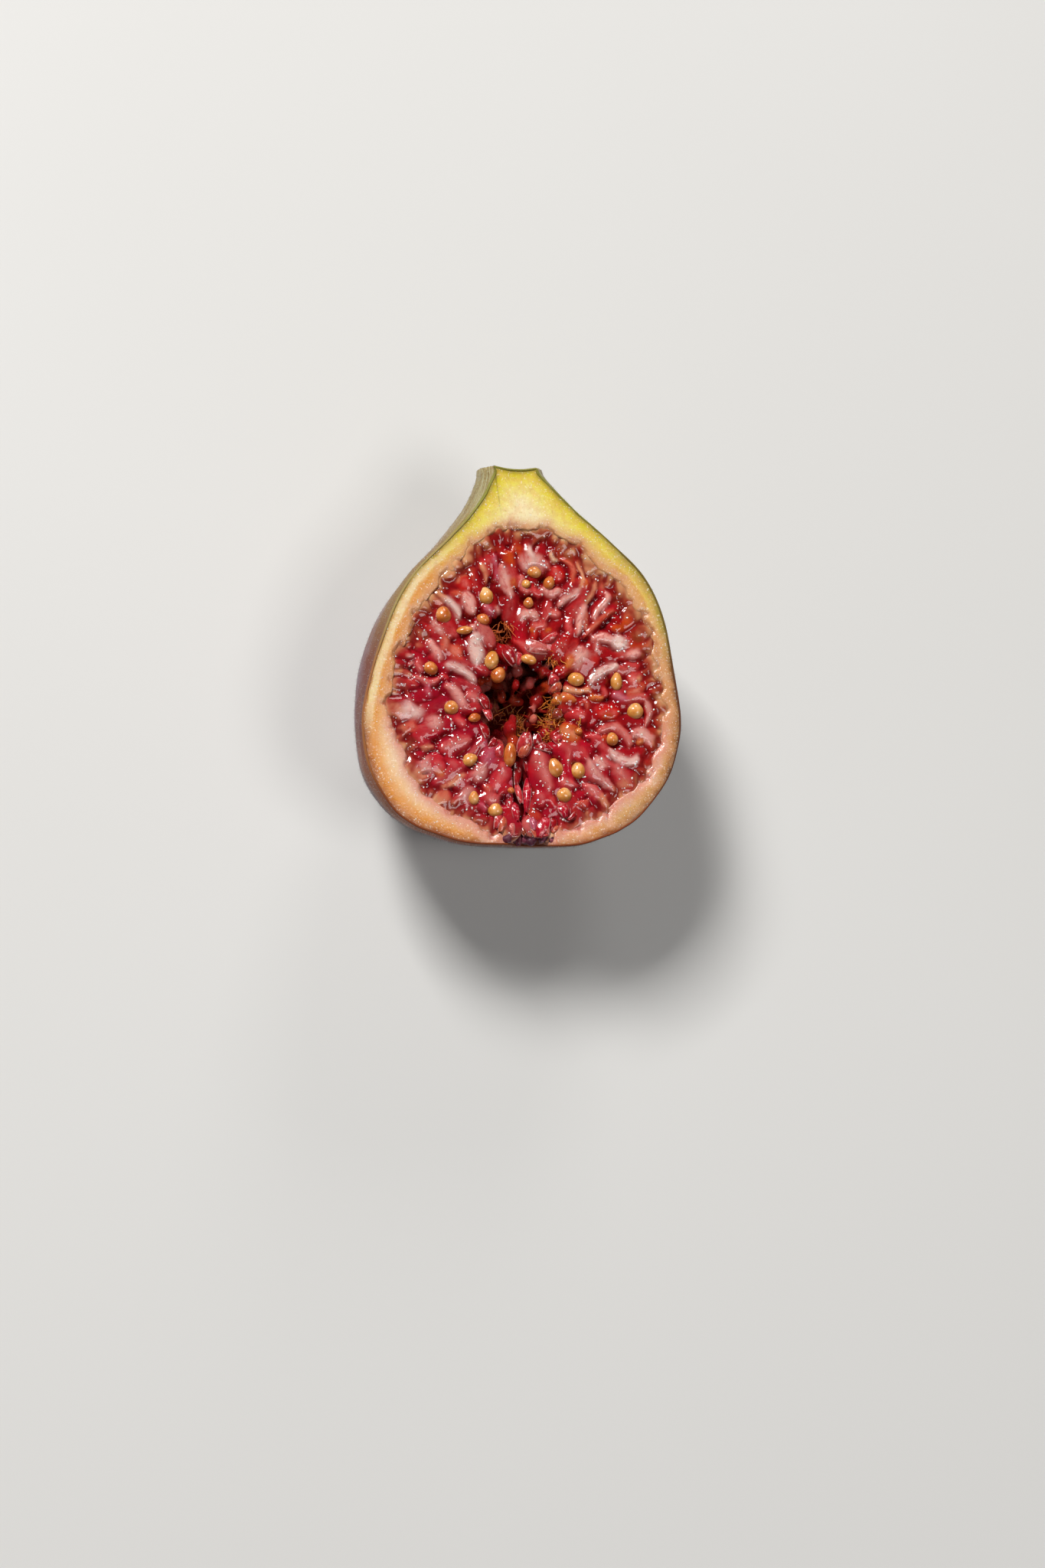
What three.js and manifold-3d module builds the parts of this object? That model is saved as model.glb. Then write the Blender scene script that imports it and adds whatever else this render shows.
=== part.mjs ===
// Half of a fresh fig, cut lengthwise and lying on its round back with the cut face up.
// Millimetres. +X across the cut face, +Y towards the stem end, +Z up out of the cut face.
// The origin is on the resting surface, under the middle of the piece.
import * as THREE from "three";
import { mergeVertices } from "three/addons/utils/BufferGeometryUtils.js";
import Module from "manifold-3d";

const wasm = await Module();
wasm.setup();

// Driving dimensions. The whole fruit's axis runs along Y.
const girthRadius = 19.4; // at the widest part of the belly
const bellyY = -8; // where that is
const baseY = -22.1; // the eye end
const neckTopY = 22.75; // where the stem was cut off
const neckRadius = 3.7; // at the cut end of the neck
const neckDish = 0.75; // how far the cut end of the neck dips
const cutAboveAxis = 2.5; // the knife passed this far beside the axis, so the piece is over half
const restFlat = 0.9; // how far the soft back is pressed flat where it rests
const pulpRecess = 0.9; // the bed between the florets lies this far below the cut

// Half-widths of the fruit along its axis, as fractions of the girth radius.
const bodyOutline = [
  [0.3, baseY],
  [0.405, -21.8],
  [0.532, -21],
  [0.654, -20],
  [0.792, -18],
  [0.93, -14],
  [0.99, -10],
  [0.994, -6],
  [0.933, 0],
  [0.843, 6],
  [0.726, 10],
  [0.524, 14],
  [0.323, 18],
  [0.198, 21.5],
];
// Half-widths of the pulp on the cut face, in millimetres. The rest, out to the skin, is pale rind.
const pulpOutline = [
  [4.5, -20.2],
  [9.3, -18.2],
  [13.6, -14],
  [16.2, -8],
  [16.1, -3],
  [14.6, 2.5],
  [12.0, 7.5],
  [8.6, 11.2],
  [4.8, 13.9],
];
const pulpTopY = 14.9;
const pulpBottomY = -20.7;

// How far the axis wanders sideways: the shoulders lie to the right and the neck leans left.
const axisDrift = new THREE.SplineCurve(
  [
    [-0.3, baseY],
    [-0.7, -18.5],
    [0.05, bellyY],
    [0.45, 0],
    [0.95, 8],
    [1.1, 13],
    [0.3, 18],
    [-1.1, neckTopY],
  ].map(([x, y]) => new THREE.Vector2(x, y)),
);

// The hollow in the middle, a small one above it, and the torn channel that runs down to the eye,
// as overlapping round pockets: [x, y, half-width, half-length, depth].
const hollowPockets = [
  [1.0, -5.0, 4.6, 5.0, 9.5],
  [0.2, -1.8, 3.6, 2.6, 7.0],
  [-1.7, 3.0, 1.9, 2.2, 4.5],
  [0.6, -10.5, 1.9, 4.2, 6.0],
  [0.8, -16.4, 1.4, 4.4, 4.0],
  [0.6, -22.6, 2.5, 3.0, 3.2],
];

// The florets: rows of plump, roughly radial grains that rise from the bed to the cut.
const floretRows = [
  { inset: 2.3, spacing: 2.9, halfLength: 2.1, halfWidth: 0.95 },
  { inset: 6.0, spacing: 3.1, halfLength: 1.9, halfWidth: 1.0 },
  { inset: 9.4, spacing: 3.2, halfLength: 1.6, halfWidth: 0.95 },
];
const floretHeight = 0.95;
const pulpReach = 15.8; // from the pulp's middle to its edge, on average
const pulpCentre = new THREE.Vector2(0.8, -3.5);

const aroundSegments = 56;
const outlineSteps = 40;
const pulpSteps = 60;

// A closed mesh as a solid that can be joined and cut.
function solid(geometry) {
  geometry.deleteAttribute("normal");
  geometry.deleteAttribute("uv");
  const merged = mergeVertices(geometry, 1e-4);
  return new wasm.Manifold(
    new wasm.Mesh({
      numProp: 3,
      vertProperties: merged.attributes.position.array,
      triVerts: new Uint32Array(merged.index.array),
    }),
  );
}

// The solid back as a three.js geometry.
function geometryOf(made) {
  const mesh = made.getMesh();
  const geometry = new THREE.BufferGeometry();
  geometry.setAttribute("position", new THREE.BufferAttribute(mesh.vertProperties, 3));
  geometry.setIndex(new THREE.BufferAttribute(mesh.triVerts, 1));
  geometry.computeVertexNormals();
  return geometry;
}

// Sideways place of the fruit's axis at a height along it.
function driftAt(y) {
  let low = 0;
  let high = 1;
  for (let i = 0; i < 24; i += 1) {
    const middle = (low + high) / 2;
    if (axisDrift.getPoint(middle).y < y) low = middle;
    else high = middle;
  }
  return axisDrift.getPoint(low).x;
}

// The body's right-hand profile, from the eye round to the dished end of the neck.
function profilePoints() {
  const sides = bodyOutline.map(([share, y]) => new THREE.Vector2(share * girthRadius, y));
  sides.push(new THREE.Vector2(neckRadius, neckTopY));
  const curve = new THREE.SplineCurve(sides);
  const base = new THREE.Vector2(0, baseY + 0.05);
  const dish = new THREE.Vector2(0, neckTopY - neckDish);
  return [base, ...curve.getPoints(outlineSteps), dish];
}

// The whole fruit turned about its axis, then bent to follow the drift.
function wholeFruit(points) {
  const geometry = new THREE.LatheGeometry(points, aroundSegments);
  const place = geometry.attributes.position;
  for (let i = 0; i < place.count; i += 1) {
    place.setX(i, place.getX(i) + driftAt(place.getY(i)));
  }
  return solid(geometry);
}

// The pulp's outline on the cut face, anticlockwise from the bottom.
function pulpShape() {
  const right = pulpOutline.map(([half, y]) => new THREE.Vector2(driftAt(y) + half, y));
  const left = pulpOutline.map(([half, y]) => new THREE.Vector2(driftAt(y) - half, y));
  const bottom = new THREE.Vector2(driftAt(pulpBottomY), pulpBottomY);
  const top = new THREE.Vector2(driftAt(pulpTopY), pulpTopY);
  const ring = [bottom, ...right, top, ...left.reverse()];
  return new THREE.CatmullRomCurve3(
    ring.map((p) => new THREE.Vector3(p.x, p.y, 0)),
    true,
  );
}

// A flat plate of the given outline, between two heights.
function plate(curve, low, high) {
  const outline = curve.getSpacedPoints(pulpSteps).slice(0, -1);
  const shape = new THREE.Shape(outline.map((p) => new THREE.Vector2(p.x, p.y)));
  const geometry = new THREE.ExtrudeGeometry(shape, {
    depth: high - low,
    bevelEnabled: false,
  });
  geometry.translate(0, 0, low);
  return solid(geometry);
}

// A round grain or pocket, turned about Z and placed.
function ellipsoid(at, halfSizes, turn, segments) {
  const geometry = new THREE.SphereGeometry(1, segments, Math.round(segments * 0.6));
  geometry.scale(...halfSizes);
  geometry.rotateZ(turn);
  geometry.translate(...at);
  return solid(geometry);
}

// The florets, in rows that follow the pulp's outline and point at its middle.
function florets(curve) {
  const made = [];
  floretRows.forEach((row, rowIndex) => {
    const shrink = 1 - row.inset / pulpReach;
    const count = Math.floor((curve.getLength() * shrink) / row.spacing);
    for (let i = 0; i < count; i += 1) {
      const rim = curve.getPointAt((i + 0.5 * (rowIndex % 2)) / count);
      const inward = new THREE.Vector2(pulpCentre.x - rim.x, pulpCentre.y - rim.y);
      const reach = inward.length();
      inward.divideScalar(reach);
      const wave = Math.sin(i * 2.4 + rowIndex * 1.7); // no two neighbours lie quite alike
      const away = reach * (1 - shrink) + 0.5 * wave;
      const x = rim.x + inward.x * away;
      const y = rim.y + inward.y * away;
      const turn = Math.atan2(inward.y, inward.x) + 0.25 * wave;
      const at = [x, y, cutAboveAxis - pulpRecess];
      const sizes = [row.halfLength * (1 + 0.15 * wave), row.halfWidth, floretHeight];
      made.push(ellipsoid(at, sizes, turn, 8));
    }
  });
  return made;
}

function halfFig() {
  const pulp = pulpShape();
  const reach = 60;
  const above = new THREE.BoxGeometry(reach, reach, reach);
  above.translate(0, 0, cutAboveAxis + reach / 2);
  const below = new THREE.BoxGeometry(reach, reach, reach);
  below.translate(0, 0, restFlat - girthRadius - reach / 2);
  let fig = wholeFruit(profilePoints()).subtract(solid(above)).subtract(solid(below));
  fig = fig.subtract(plate(pulp, cutAboveAxis - pulpRecess, cutAboveAxis + 1));
  for (const grain of florets(pulp)) fig = fig.add(grain);
  for (const [x, y, halfWidth, halfLength, depth] of hollowPockets) {
    fig = fig.subtract(ellipsoid([x, y, cutAboveAxis], [halfWidth, halfLength, depth], 0, 18));
  }
  return fig;
}

// Moves the piece so that it rests on Z = 0 with its middle over the origin.
function settled(geometry) {
  geometry.computeBoundingBox();
  const { min, max } = geometry.boundingBox;
  geometry.translate(-(min.x + max.x) / 2, -(min.y + max.y) / 2, -min.z);
  return geometry;
}

const fleshMaterial = new THREE.MeshStandardMaterial({
  color: 0xd9975a,
  roughness: 0.45,
  metalness: 0,
});

const figHalf = new THREE.Mesh(settled(geometryOf(halfFig())), fleshMaterial);
figHalf.name = "fig_half";

const group = new THREE.Group();
group.add(figHalf);
export default group;
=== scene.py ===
import math
import random

import bpy
import numpy as np
from mathutils import Matrix, Vector, kdtree


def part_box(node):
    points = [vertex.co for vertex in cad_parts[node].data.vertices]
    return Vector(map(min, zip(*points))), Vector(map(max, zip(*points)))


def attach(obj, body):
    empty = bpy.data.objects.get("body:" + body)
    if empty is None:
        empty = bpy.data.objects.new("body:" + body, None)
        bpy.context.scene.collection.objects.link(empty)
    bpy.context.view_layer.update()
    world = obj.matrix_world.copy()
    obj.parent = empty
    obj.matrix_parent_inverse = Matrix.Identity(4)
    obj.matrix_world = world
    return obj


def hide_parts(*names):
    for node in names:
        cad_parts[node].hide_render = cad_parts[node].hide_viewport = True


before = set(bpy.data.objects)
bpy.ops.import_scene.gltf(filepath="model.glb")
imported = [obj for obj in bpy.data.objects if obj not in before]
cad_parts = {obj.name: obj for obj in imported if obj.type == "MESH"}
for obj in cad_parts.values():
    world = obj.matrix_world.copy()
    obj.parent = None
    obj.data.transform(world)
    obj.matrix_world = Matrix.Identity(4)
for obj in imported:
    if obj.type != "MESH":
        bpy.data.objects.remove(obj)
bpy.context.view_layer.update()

mm = 0.001  # everything is modelled in millimetres and brought to metres when a piece is finished
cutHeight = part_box("fig_half")[1].z / mm
random.seed(7)
print(f"frame read: the cut is {cutHeight:.2f} mm up")


def hexColour(code):
    # sRGB hex to the linear colour that a shader wants
    channels = [int(code[i:i + 2], 16) / 255 for i in (1, 3, 5)]
    return (*[c / 12.92 if c <= 0.04045 else ((c + 0.055) / 1.055) ** 2.4 for c in channels], 1)


def ease(x, low, high):
    t = np.clip((np.asarray(x, float) - low) / (high - low), 0, 1)
    return t * t * (3 - 2 * t)


def noiseAt(points, size, seed=0):
    # smooth noise from -1 to 1, in lumps of about the given size
    p = np.asarray(points, float) / size + seed * np.array([13.7, -7.9, 5.3])
    cell = np.floor(p)
    part = p - cell
    part = part * part * (3 - 2 * part)
    total = np.zeros(p.shape[:-1])
    for corner in np.ndindex(2, 2, 2):
        mixed = np.sin((cell + corner) @ np.array([127.1, 311.7, 74.7])) * 43758.5453
        weight = np.prod(np.where(corner, part, 1 - part), axis=-1)
        total += (mixed - np.floor(mixed)) * weight
    return total * 2 - 1


def smoothCurve(points, steps=24, closed=False):
    # dense points on a smooth curve through the given ones
    p = np.array(points, float)
    if closed:
        p = np.vstack([p[-1], p, p[0], p[1]])
    else:
        p = np.vstack([2 * p[0] - p[1], p, 2 * p[-1] - p[-2]])
    t = np.linspace(0, 1, steps, endpoint=False)[:, None]
    parts = [
        0.5 * (2 * b + (c - a) * t + (2 * a - 5 * b + 4 * c - d) * t**2 + (3 * b - a - 3 * c + d) * t**3)
        for a, b, c, d in zip(p, p[1:], p[2:], p[3:])
    ]
    return np.vstack(parts if closed else parts + [p[-2][None]])


def unit(v):
    return v / np.maximum(np.linalg.norm(v, axis=-1, keepdims=True), 1e-9)


def plainMesh(name, points, faces):
    mesh = bpy.data.meshes.new(name)
    mesh.from_pydata(np.asarray(points).tolist(), [], [list(map(int, f)) for f in faces])
    mesh.update()
    return mesh


def ringQuads(rings):
    # the faces between rings of points, all the way round
    count, around = rings.shape[:2]
    i = np.arange(count - 1)[:, None] * around
    j = np.arange(around)[None]
    k = (j + 1) % around
    return np.stack([i + j, i + k, i + around + k, i + around + j], -1).reshape(-1, 4)


def ringMesh(name, startPole, rings, endPole):
    # a closed surface through a stack of rings, from one pole to the other, facing out
    count, around = rings.shape[:2]
    points = np.vstack([[startPole], rings.reshape(-1, 3), [endPole]])
    quads = ringQuads(rings) + 1
    j = np.arange(around)
    k = (j + 1) % around
    first = np.stack([np.zeros_like(j), k + 1, j + 1], -1)
    lastRing = (count - 1) * around + 1
    last = np.stack([np.full_like(j, len(points) - 1), lastRing + j, lastRing + k], -1)
    a, b, c = (points[quads[:, n]] for n in (0, 1, 2))
    volume = np.einsum("ij,ij->", a, np.cross(b, c))
    faces = [*quads.tolist(), *first.tolist(), *last.tolist()]
    if volume < 0:
        faces = [face[::-1] for face in faces]
    return plainMesh(name, points, faces)


def setValues(mesh, name, values):
    # one number, or one colour, at each vertex
    values = np.asarray(values, np.float32)
    kind = "FLOAT" if values.ndim == 1 else "FLOAT_COLOR"
    field = "value" if values.ndim == 1 else "color"
    mesh.attributes.new(name, kind, "POINT").data.foreach_set(field, values.ravel())


def meshPoints(mesh):
    points = np.empty(len(mesh.vertices) * 3)
    mesh.vertices.foreach_get("co", points)
    return points.reshape(-1, 3)


def putPoints(mesh, points):
    mesh.vertices.foreach_set("co", np.asarray(points, np.float32).ravel())
    mesh.update()


def addObject(name, mesh):
    made = bpy.data.objects.new(name, mesh)
    bpy.context.collection.objects.link(made)
    return made


def baked(source):
    # the object's modifiers applied, as a plain mesh
    graph = bpy.context.evaluated_depsgraph_get()
    return bpy.data.meshes.new_from_object(source.evaluated_get(graph))


def setSockets(tree, node, sockets):
    # fills a node's inputs with values, or with links from other nodes' outputs
    for name, value in sockets.items():
        if isinstance(value, bpy.types.NodeSocket):
            tree.links.new(value, node.inputs[name])
        else:
            node.inputs[name].default_value = value


def addNode(tree, kind, sockets=None, **settings):
    # one node, with its settings, its input values and the links into it
    made = tree.nodes.new(kind)
    for name, value in settings.items():
        setattr(made, name, value)
    setSockets(tree, made, sockets or {})
    return made


def eased(tree, value, low, high, most=1.0):
    # nothing at the low value, rising smoothly to the most at the high one
    return addNode(tree, "ShaderNodeMapRange", {
        "Value": value, "From Min": low, "From Max": high, "To Max": most,
    }, interpolation_type="SMOOTHSTEP").outputs[0]


def newTree(name, **inputs):
    # an empty Geometry Nodes tree that takes a mesh and the named inputs, and what its input node gives
    tree = bpy.data.node_groups.new(name, "GeometryNodeTree")
    tree.interface.new_socket("Geometry", in_out="OUTPUT", socket_type="NodeSocketGeometry")
    for label, kind in {"geometry": "Geometry", **inputs, "material": "Material"}.items():
        label = label.replace("_", " ").capitalize()
        tree.interface.new_socket(label, in_out="INPUT", socket_type="NodeSocket" + kind)
    return tree, addNode(tree, "NodeGroupInput").outputs


def endTree(tree, geometry, material):
    # instances made real and given their material, which every tree here ends in
    plain = addNode(tree, "GeometryNodeRealizeInstances", {"Geometry": geometry})
    coated = addNode(tree, "GeometryNodeSetMaterial", {"Geometry": plain.outputs[0], "Material": material})
    addNode(tree, "NodeGroupOutput", {"Geometry": coated.outputs[0]})


def grown(tree, mesh, inputs):
    # runs a Geometry Nodes tree on a mesh and gives back the plain mesh that comes out
    carrier = addObject("carrier", mesh)
    modifier = carrier.modifiers.new("grow", "NODES")
    modifier.node_group = tree
    identifiers = {item.name: item.identifier for item in tree.interface.items_tree}
    for label, value in inputs.items():
        modifier[identifiers[label]] = value
    made = baked(carrier)
    carrier.modifiers.remove(modifier)
    bpy.data.objects.remove(carrier)
    return made


def finished(name, mesh, materials=()):
    # millimetres to metres, smooth faces, and a place in the frame
    mesh.transform(Matrix.Scale(mm, 4) @ Matrix.Translation((-fruit["middle"][0], -fruit["middle"][1], 0)))
    mesh.shade_smooth()
    if materials:
        mesh.materials.clear()
        for material in materials:
            mesh.materials.append(material)
    mesh.name = name
    piece = addObject(name, mesh)
    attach(piece, "root")
    print(f"{name} built: {sum(len(p.vertices) - 2 for p in mesh.polygons)} triangles")
    return piece


view = {
    "fromLeft": 15.0,  # degrees off square to the cut face
    "fromBelow": 6.0,
    "distance": 450.0,
    "aim": (-0.16, -14.9),  # where the view's middle meets the cut face
    "fieldHeight": 183.0,  # how much the long side takes in at that distance
    "offset": (-0.54, 14.84),  # from the view's middle to the fig's
}
viewBack = np.array([-math.sin(math.radians(view[side])) for side in ("fromLeft", "fromBelow")] + [0])
viewBack[2] = math.sqrt(1 - viewBack @ viewBack)
viewRight = np.cross([0, 1, 0], viewBack)
viewRight = viewRight / np.linalg.norm(viewRight)
viewUp = np.cross(viewBack, viewRight)

fruit = {
    "girth": 19.4,  # half-width at the belly
    "axisHeight": cutHeight - 2.5,  # the knife passed 2.5 mm beside the fruit's axis
    "base": -22.1,
    "neck": 22.75,
    "neckRadius": 3.7,
    "neckDish": 0.75,  # the cut end of the neck dips this far
    "middle": (0.09, 0.325),  # middle of the piece, which is set over the origin
    "softEdge": 0.16,
    "baseTilt": 0.05,  # the base leans in below the cut
    "fray": [(1.1, 1.1), (0.6, 0.7)],  # how far rind and pulp grow into each other, and in what widths
    # how much further the back swells on the left, along the fruit
    "swelling": [(-0.1, -22.5), (-0.35, -19.5), (-0.25, -16), (-0.3, -10), (0.1, -6), (0.65, -2), (0.8, 2),
                 (0.6, 5), (0.0, 8.5), (0.05, 11), (0.35, 14), (0.6, 18), (0.6, 21), (0.4, 23)],
    # half-width as a share of the girth, and the place along the axis
    "widths": [(0.3, -22.1), (0.405, -21.8), (0.532, -21), (0.654, -20), (0.792, -18), (0.93, -14),
               (0.99, -10), (0.994, -6), (0.933, 0), (0.843, 6), (0.726, 10), (0.524, 14), (0.323, 18),
               (0.198, 21.5)],
    # sideways place of the axis: the shoulders lie to the right and the neck leans left
    "drift": [(-0.3, -22.1), (-0.7, -18.5), (0.05, -8), (0.45, 0), (0.95, 8), (1.1, 13), (0.3, 18),
              (-1.1, 22.75)],
    # outlines on the cut face, as the view shows them
    "pulp": [(0, 14.7), (3, 14.5), (5, 13.8), (7.5, 12.6), (9.5, 10.3), (11.3, 9), (12.4, 7.2), (13.6, 5.6),
             (14.4, 3.5), (15.4, 2.4), (15.7, 0), (16, -2), (16.6, -4), (16.9, -7), (16.6, -10), (15.5, -12),
             (14.2, -14), (13.4, -15.3), (11.5, -16.7), (10, -18), (7.5, -19), (5, -19.9), (3.4, -21.1),
             (1.2, -21.6), (-1.3, -21.1), (-2.4, -20.3), (-4, -19.7), (-6, -18.7), (-8, -17.9), (-9.5, -16.9),
             (-11.2, -15.1), (-12.4, -13.4), (-12.7, -11.9), (-13.6, -10), (-14.2, -8.5), (-14.7, -6.5),
             (-14.6, -4), (-14.4, -2), (-13.8, 0.5), (-12.8, 2), (-12.2, 3.6), (-11.2, 5), (-10.4, 6.7),
             (-9.3, 8.2), (-7.8, 9.7), (-6.5, 11.2), (-5.2, 12.8), (-3.8, 13.8), (-2, 14.5)],
    "hollow": [(5.8, -4.8), (5.0, -2.6), (4.5, -0.4), (2.4, 0.0), (-0.3, -0.6), (-2.8, -1.3), (-4.0, -3.8),
               (-3.9, -6.8), (-3.1, -9.5), (-0.6, -10.2), (2.2, -10.0), (4.7, -9.8), (5.6, -7.4)],
    "heart": (1.2, -5.0),  # the middle of the hollow
    "hollowDepth": 8.6,
    "eye": (0.9, 2.1, 2.6),  # middle, half-width and depth of the notch that the eye leaves in the edge
}


def placeOf(u, v, height=cutHeight):
    # the spot at a height that the view shows at (u, v), in millimetres from the fig's middle
    ray = viewRight * (u + view["offset"][0]) + viewUp * (v + view["offset"][1]) - viewBack * view["distance"]
    start = np.array([*view["aim"], cutHeight]) + viewBack * view["distance"]
    return (start + ray * ((height - start[2]) / ray[2]))[:2]


heart = np.array([*placeOf(*fruit["heart"]), cutHeight])
widthCurve = smoothCurve(
    [(share * fruit["girth"], y) for share, y in fruit["widths"]] + [(fruit["neckRadius"], fruit["neck"])]
)
driftCurve = smoothCurve(fruit["drift"])
swellCurve = smoothCurve(fruit["swelling"])
pulpCurve = smoothCurve([placeOf(*p) for p in fruit["pulp"]], 24, closed=True)
hollowCurve = smoothCurve([placeOf(*p) for p in fruit["hollow"]], 30, closed=True)


def radiusAt(y):
    return np.interp(y, widthCurve[:, 1], widthCurve[:, 0])


def driftAt(y):
    return np.interp(y, driftCurve[:, 1], driftCurve[:, 0])


def insideBy(p):
    # above zero inside the whole fruit, with its corners a little softened
    x, y, z = p[..., 0], p[..., 1], p[..., 2]
    y = y - fruit["baseTilt"] * (cutHeight - z) * ease(-y, 12, 20)
    away = np.hypot(x - driftAt(y), z - fruit["axisHeight"])
    dish = fruit["neckDish"] * np.clip(1 - (away / fruit["neckRadius"]) ** 2, 0, 1)
    walls = np.stack([radiusAt(y) - away, fruit["neck"] - dish - y, y - fruit["base"]])
    soft = fruit["softEdge"]
    low = walls.min(0)
    return low - soft * np.log(np.exp(-(walls - low) / soft).sum(0))


def skinReach(directions, longest=40, halvings=26):
    # how far the skin lies from the heart along each direction, found by halving
    near = np.zeros(directions.shape[:-1])
    far = np.full_like(near, longest)
    for _ in range(halvings):
        middle = (near + far) / 2
        inside = insideBy(heart + directions * middle[..., None]) > 0
        near = np.where(inside, middle, near)
        far = np.where(inside, far, middle)
    return near


def reachOf(curve, angles):
    # how far a closed curve round the heart lies from it, at each angle
    flat = curve - heart[:2]
    turn = np.arctan2(flat[:, 1], flat[:, 0])
    order = np.argsort(turn)
    return np.interp(angles, turn[order], np.hypot(*flat.T)[order], period=2 * math.pi)


def bearings(angles, slope):
    # unit directions from the heart, by compass angle and slope
    return np.stack([
        np.cos(slope) * np.cos(angles),
        np.cos(slope) * np.sin(angles),
        np.sin(slope) * np.ones_like(angles),
    ], -1)


def evenAngles(count, neckCrowding=1.5):
    # angles whose rays meet the cut's outline at even steps, closer together at the neck's corners
    fine = np.linspace(-math.pi, math.pi, 6001)
    edge = bearings(fine, 0.0) * skinReach(bearings(fine, 0.0))[:, None]
    length = np.linalg.norm(np.diff(edge, axis=0), axis=1)
    y = edge[1:, 1] + heart[1]
    travelled = np.concatenate([[0], np.cumsum(length * (1 + neckCrowding * ease(y, 19, 21.5)))])
    return np.interp(np.linspace(0, travelled[-1], count, endpoint=False), travelled, fine)


def ringNormals(rings):
    # outward directions for rings that run anticlockwise from the cut down
    down = np.gradient(rings, axis=0)
    around = np.roll(rings, -1, axis=1) - np.roll(rings, 1, axis=1)
    return unit(np.cross(down, around))


def edgeDistance(curve, points):
    # millimetres from each point to a flat curve
    tree = kdtree.KDTree(len(curve))
    for i, (x, y) in enumerate(curve):
        tree.insert((x, y, 0), i)
    tree.balance()
    return np.array([tree.find((x, y, 0))[2] for x, y in np.asarray(points)[:, :2]])


def inPulpBy(points):
    # millimetres inside the pulp's outline, below zero out in the rind
    flat = np.asarray(points)[:, :2] - heart[:2]
    inside = reachOf(pulpCurve, np.arctan2(flat[:, 1], flat[:, 0])) > np.hypot(*flat.T)
    return edgeDistance(pulpCurve, points) * np.where(inside, 1, -1)


def ringSpots(angles, radius=14):
    # places on a circle, for a pattern that changes only round the fruit
    return np.stack([np.cos(angles) * radius, np.sin(angles) * radius, angles * 0], -1)


def frayAt(points):
    # the same, swinging in and out where rind and pulp grow into each other in tongues and pockets
    flat = np.asarray(points) * [1, 1, 0]
    ring = ringSpots(np.arctan2(flat[:, 1] - heart[1], flat[:, 0] - heart[0]))
    (tongues, tongueWidth), (pockets, pocketWidth) = fruit["fray"]
    swing = tongues * noiseAt(ring, tongueWidth, 5)
    return inPulpBy(points) + swing + pockets * noiseAt(flat, pocketWidth, 6)


skinShape = {
    "around": 520,
    "down": 92,
    "thickness": 0.24,
    "proud": 0.07,  # the skin's edge stands this far above the shrinking flesh
    # width and height of the relief: ribs from neck to eye, creases across them, and dents
    "ribs": (2.3, 0.16),
    "creases": (1.1, 0.07),
    "dents": (6, 0.16),
    "restSoftness": 0.12,  # how softly the back flattens where it rests
    # rings of the outside, counted from the cut, that the unseen inside repeats, from the bottom up
    "insideRings": [-1, -8, -20, -32, -44, -56, -66, -74, -80, -84, -87, -89],
}
rindShape = {
    "rimSteps": 34,
    "wallSteps": 10,
    "lipDrop": 0.36,  # the rim sinks this far where it meets the pulp
    "lipOverlap": 0.1,  # the rim covers this much of the pulp's edge
    "lipTeeth": 0.22,  # how far the lip's ragged teeth stand out
    "waves": [(0.09, 4.5), (0.035, 0.8)],  # height and width of the cut face's unevenness
    "bowl": 0.8,  # the hidden inside of the bowl lies at this share of the way to the skin
    "underSkin": 0.6,  # the back lies this share of the way through the skin
    "backRings": [3, 6, 10, 16, 24, 34, 46, 58, 70, 80, 88],
}

angles = evenAngles(skinShape["around"])
eyeX, eyeHalf, eyeDepth = fruit["eye"]


def eyeDip(points):
    # how far the notch at the eye lowers the edge
    x, y = points[..., 0], points[..., 1]
    return eyeDepth * np.exp(-(((x - eyeX) / eyeHalf) ** 4)) * ease(-y, 13, 19)


def skinRelief(points):
    # faint ribs from neck to eye, creases across them and shallow dents
    x, y, z = points[..., 0] - driftAt(points[..., 1]), points[..., 1], points[..., 2] - fruit["axisHeight"]
    away = np.hypot(x, z)
    wrapped = np.stack([x / away * fruit["girth"], y * 0.1, z / away * fruit["girth"]], -1)
    fading = ease(-np.abs(y + 1), -21.5, -15)  # ribs die out at both ends
    (ribWidth, ribHeight), (creaseWidth, creaseHeight), (dentWidth, dentHeight) = (
        skinShape[name] for name in ("ribs", "creases", "dents")
    )
    ribs = noiseAt(wrapped, ribWidth, 1) * ribHeight * fading
    creases = noiseAt(wrapped * [1, 2.4, 1], creaseWidth, 2) * creaseHeight
    return ribs + creases + noiseAt(points, dentWidth, 3) * dentHeight


def skinRings():
    # from the cut edge down to the flat patch that the fruit rests on
    edge = bearings(angles, 0.0)
    edgePoints = heart + edge * skinReach(edge)[:, None]
    start = -np.arctan2(eyeDip(edgePoints), np.linalg.norm(edgePoints - heart, axis=1))
    share = (np.arange(skinShape["down"]) / skinShape["down"]) ** 1.2
    slope = start + (-math.pi / 2 - start) * share[:, None]
    directions = bearings(np.broadcast_to(angles, slope.shape), slope)
    rings = heart + directions * skinReach(directions)[..., None]
    sideways = rings - np.stack(
        [driftAt(rings[..., 1]), rings[..., 1], np.full(rings.shape[:2], fruit["axisHeight"])], -1
    )
    sideways[0, :, 2] = 0
    left = ease(-sideways[..., 0] / np.linalg.norm(sideways, axis=-1), 0.1, 0.8)
    low = ease(cutHeight - rings[..., 2], 0.2, 5)
    swelling = np.interp(rings[..., 1], swellCurve[:, 1], swellCurve[:, 0]) * left * low
    rings = rings + unit(sideways) * (skinRelief(rings) + swelling)[..., None]
    soft = skinShape["restSoftness"]
    rings[..., 2] = soft * np.logaddexp(0, rings[..., 2] / soft)
    return rings


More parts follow.
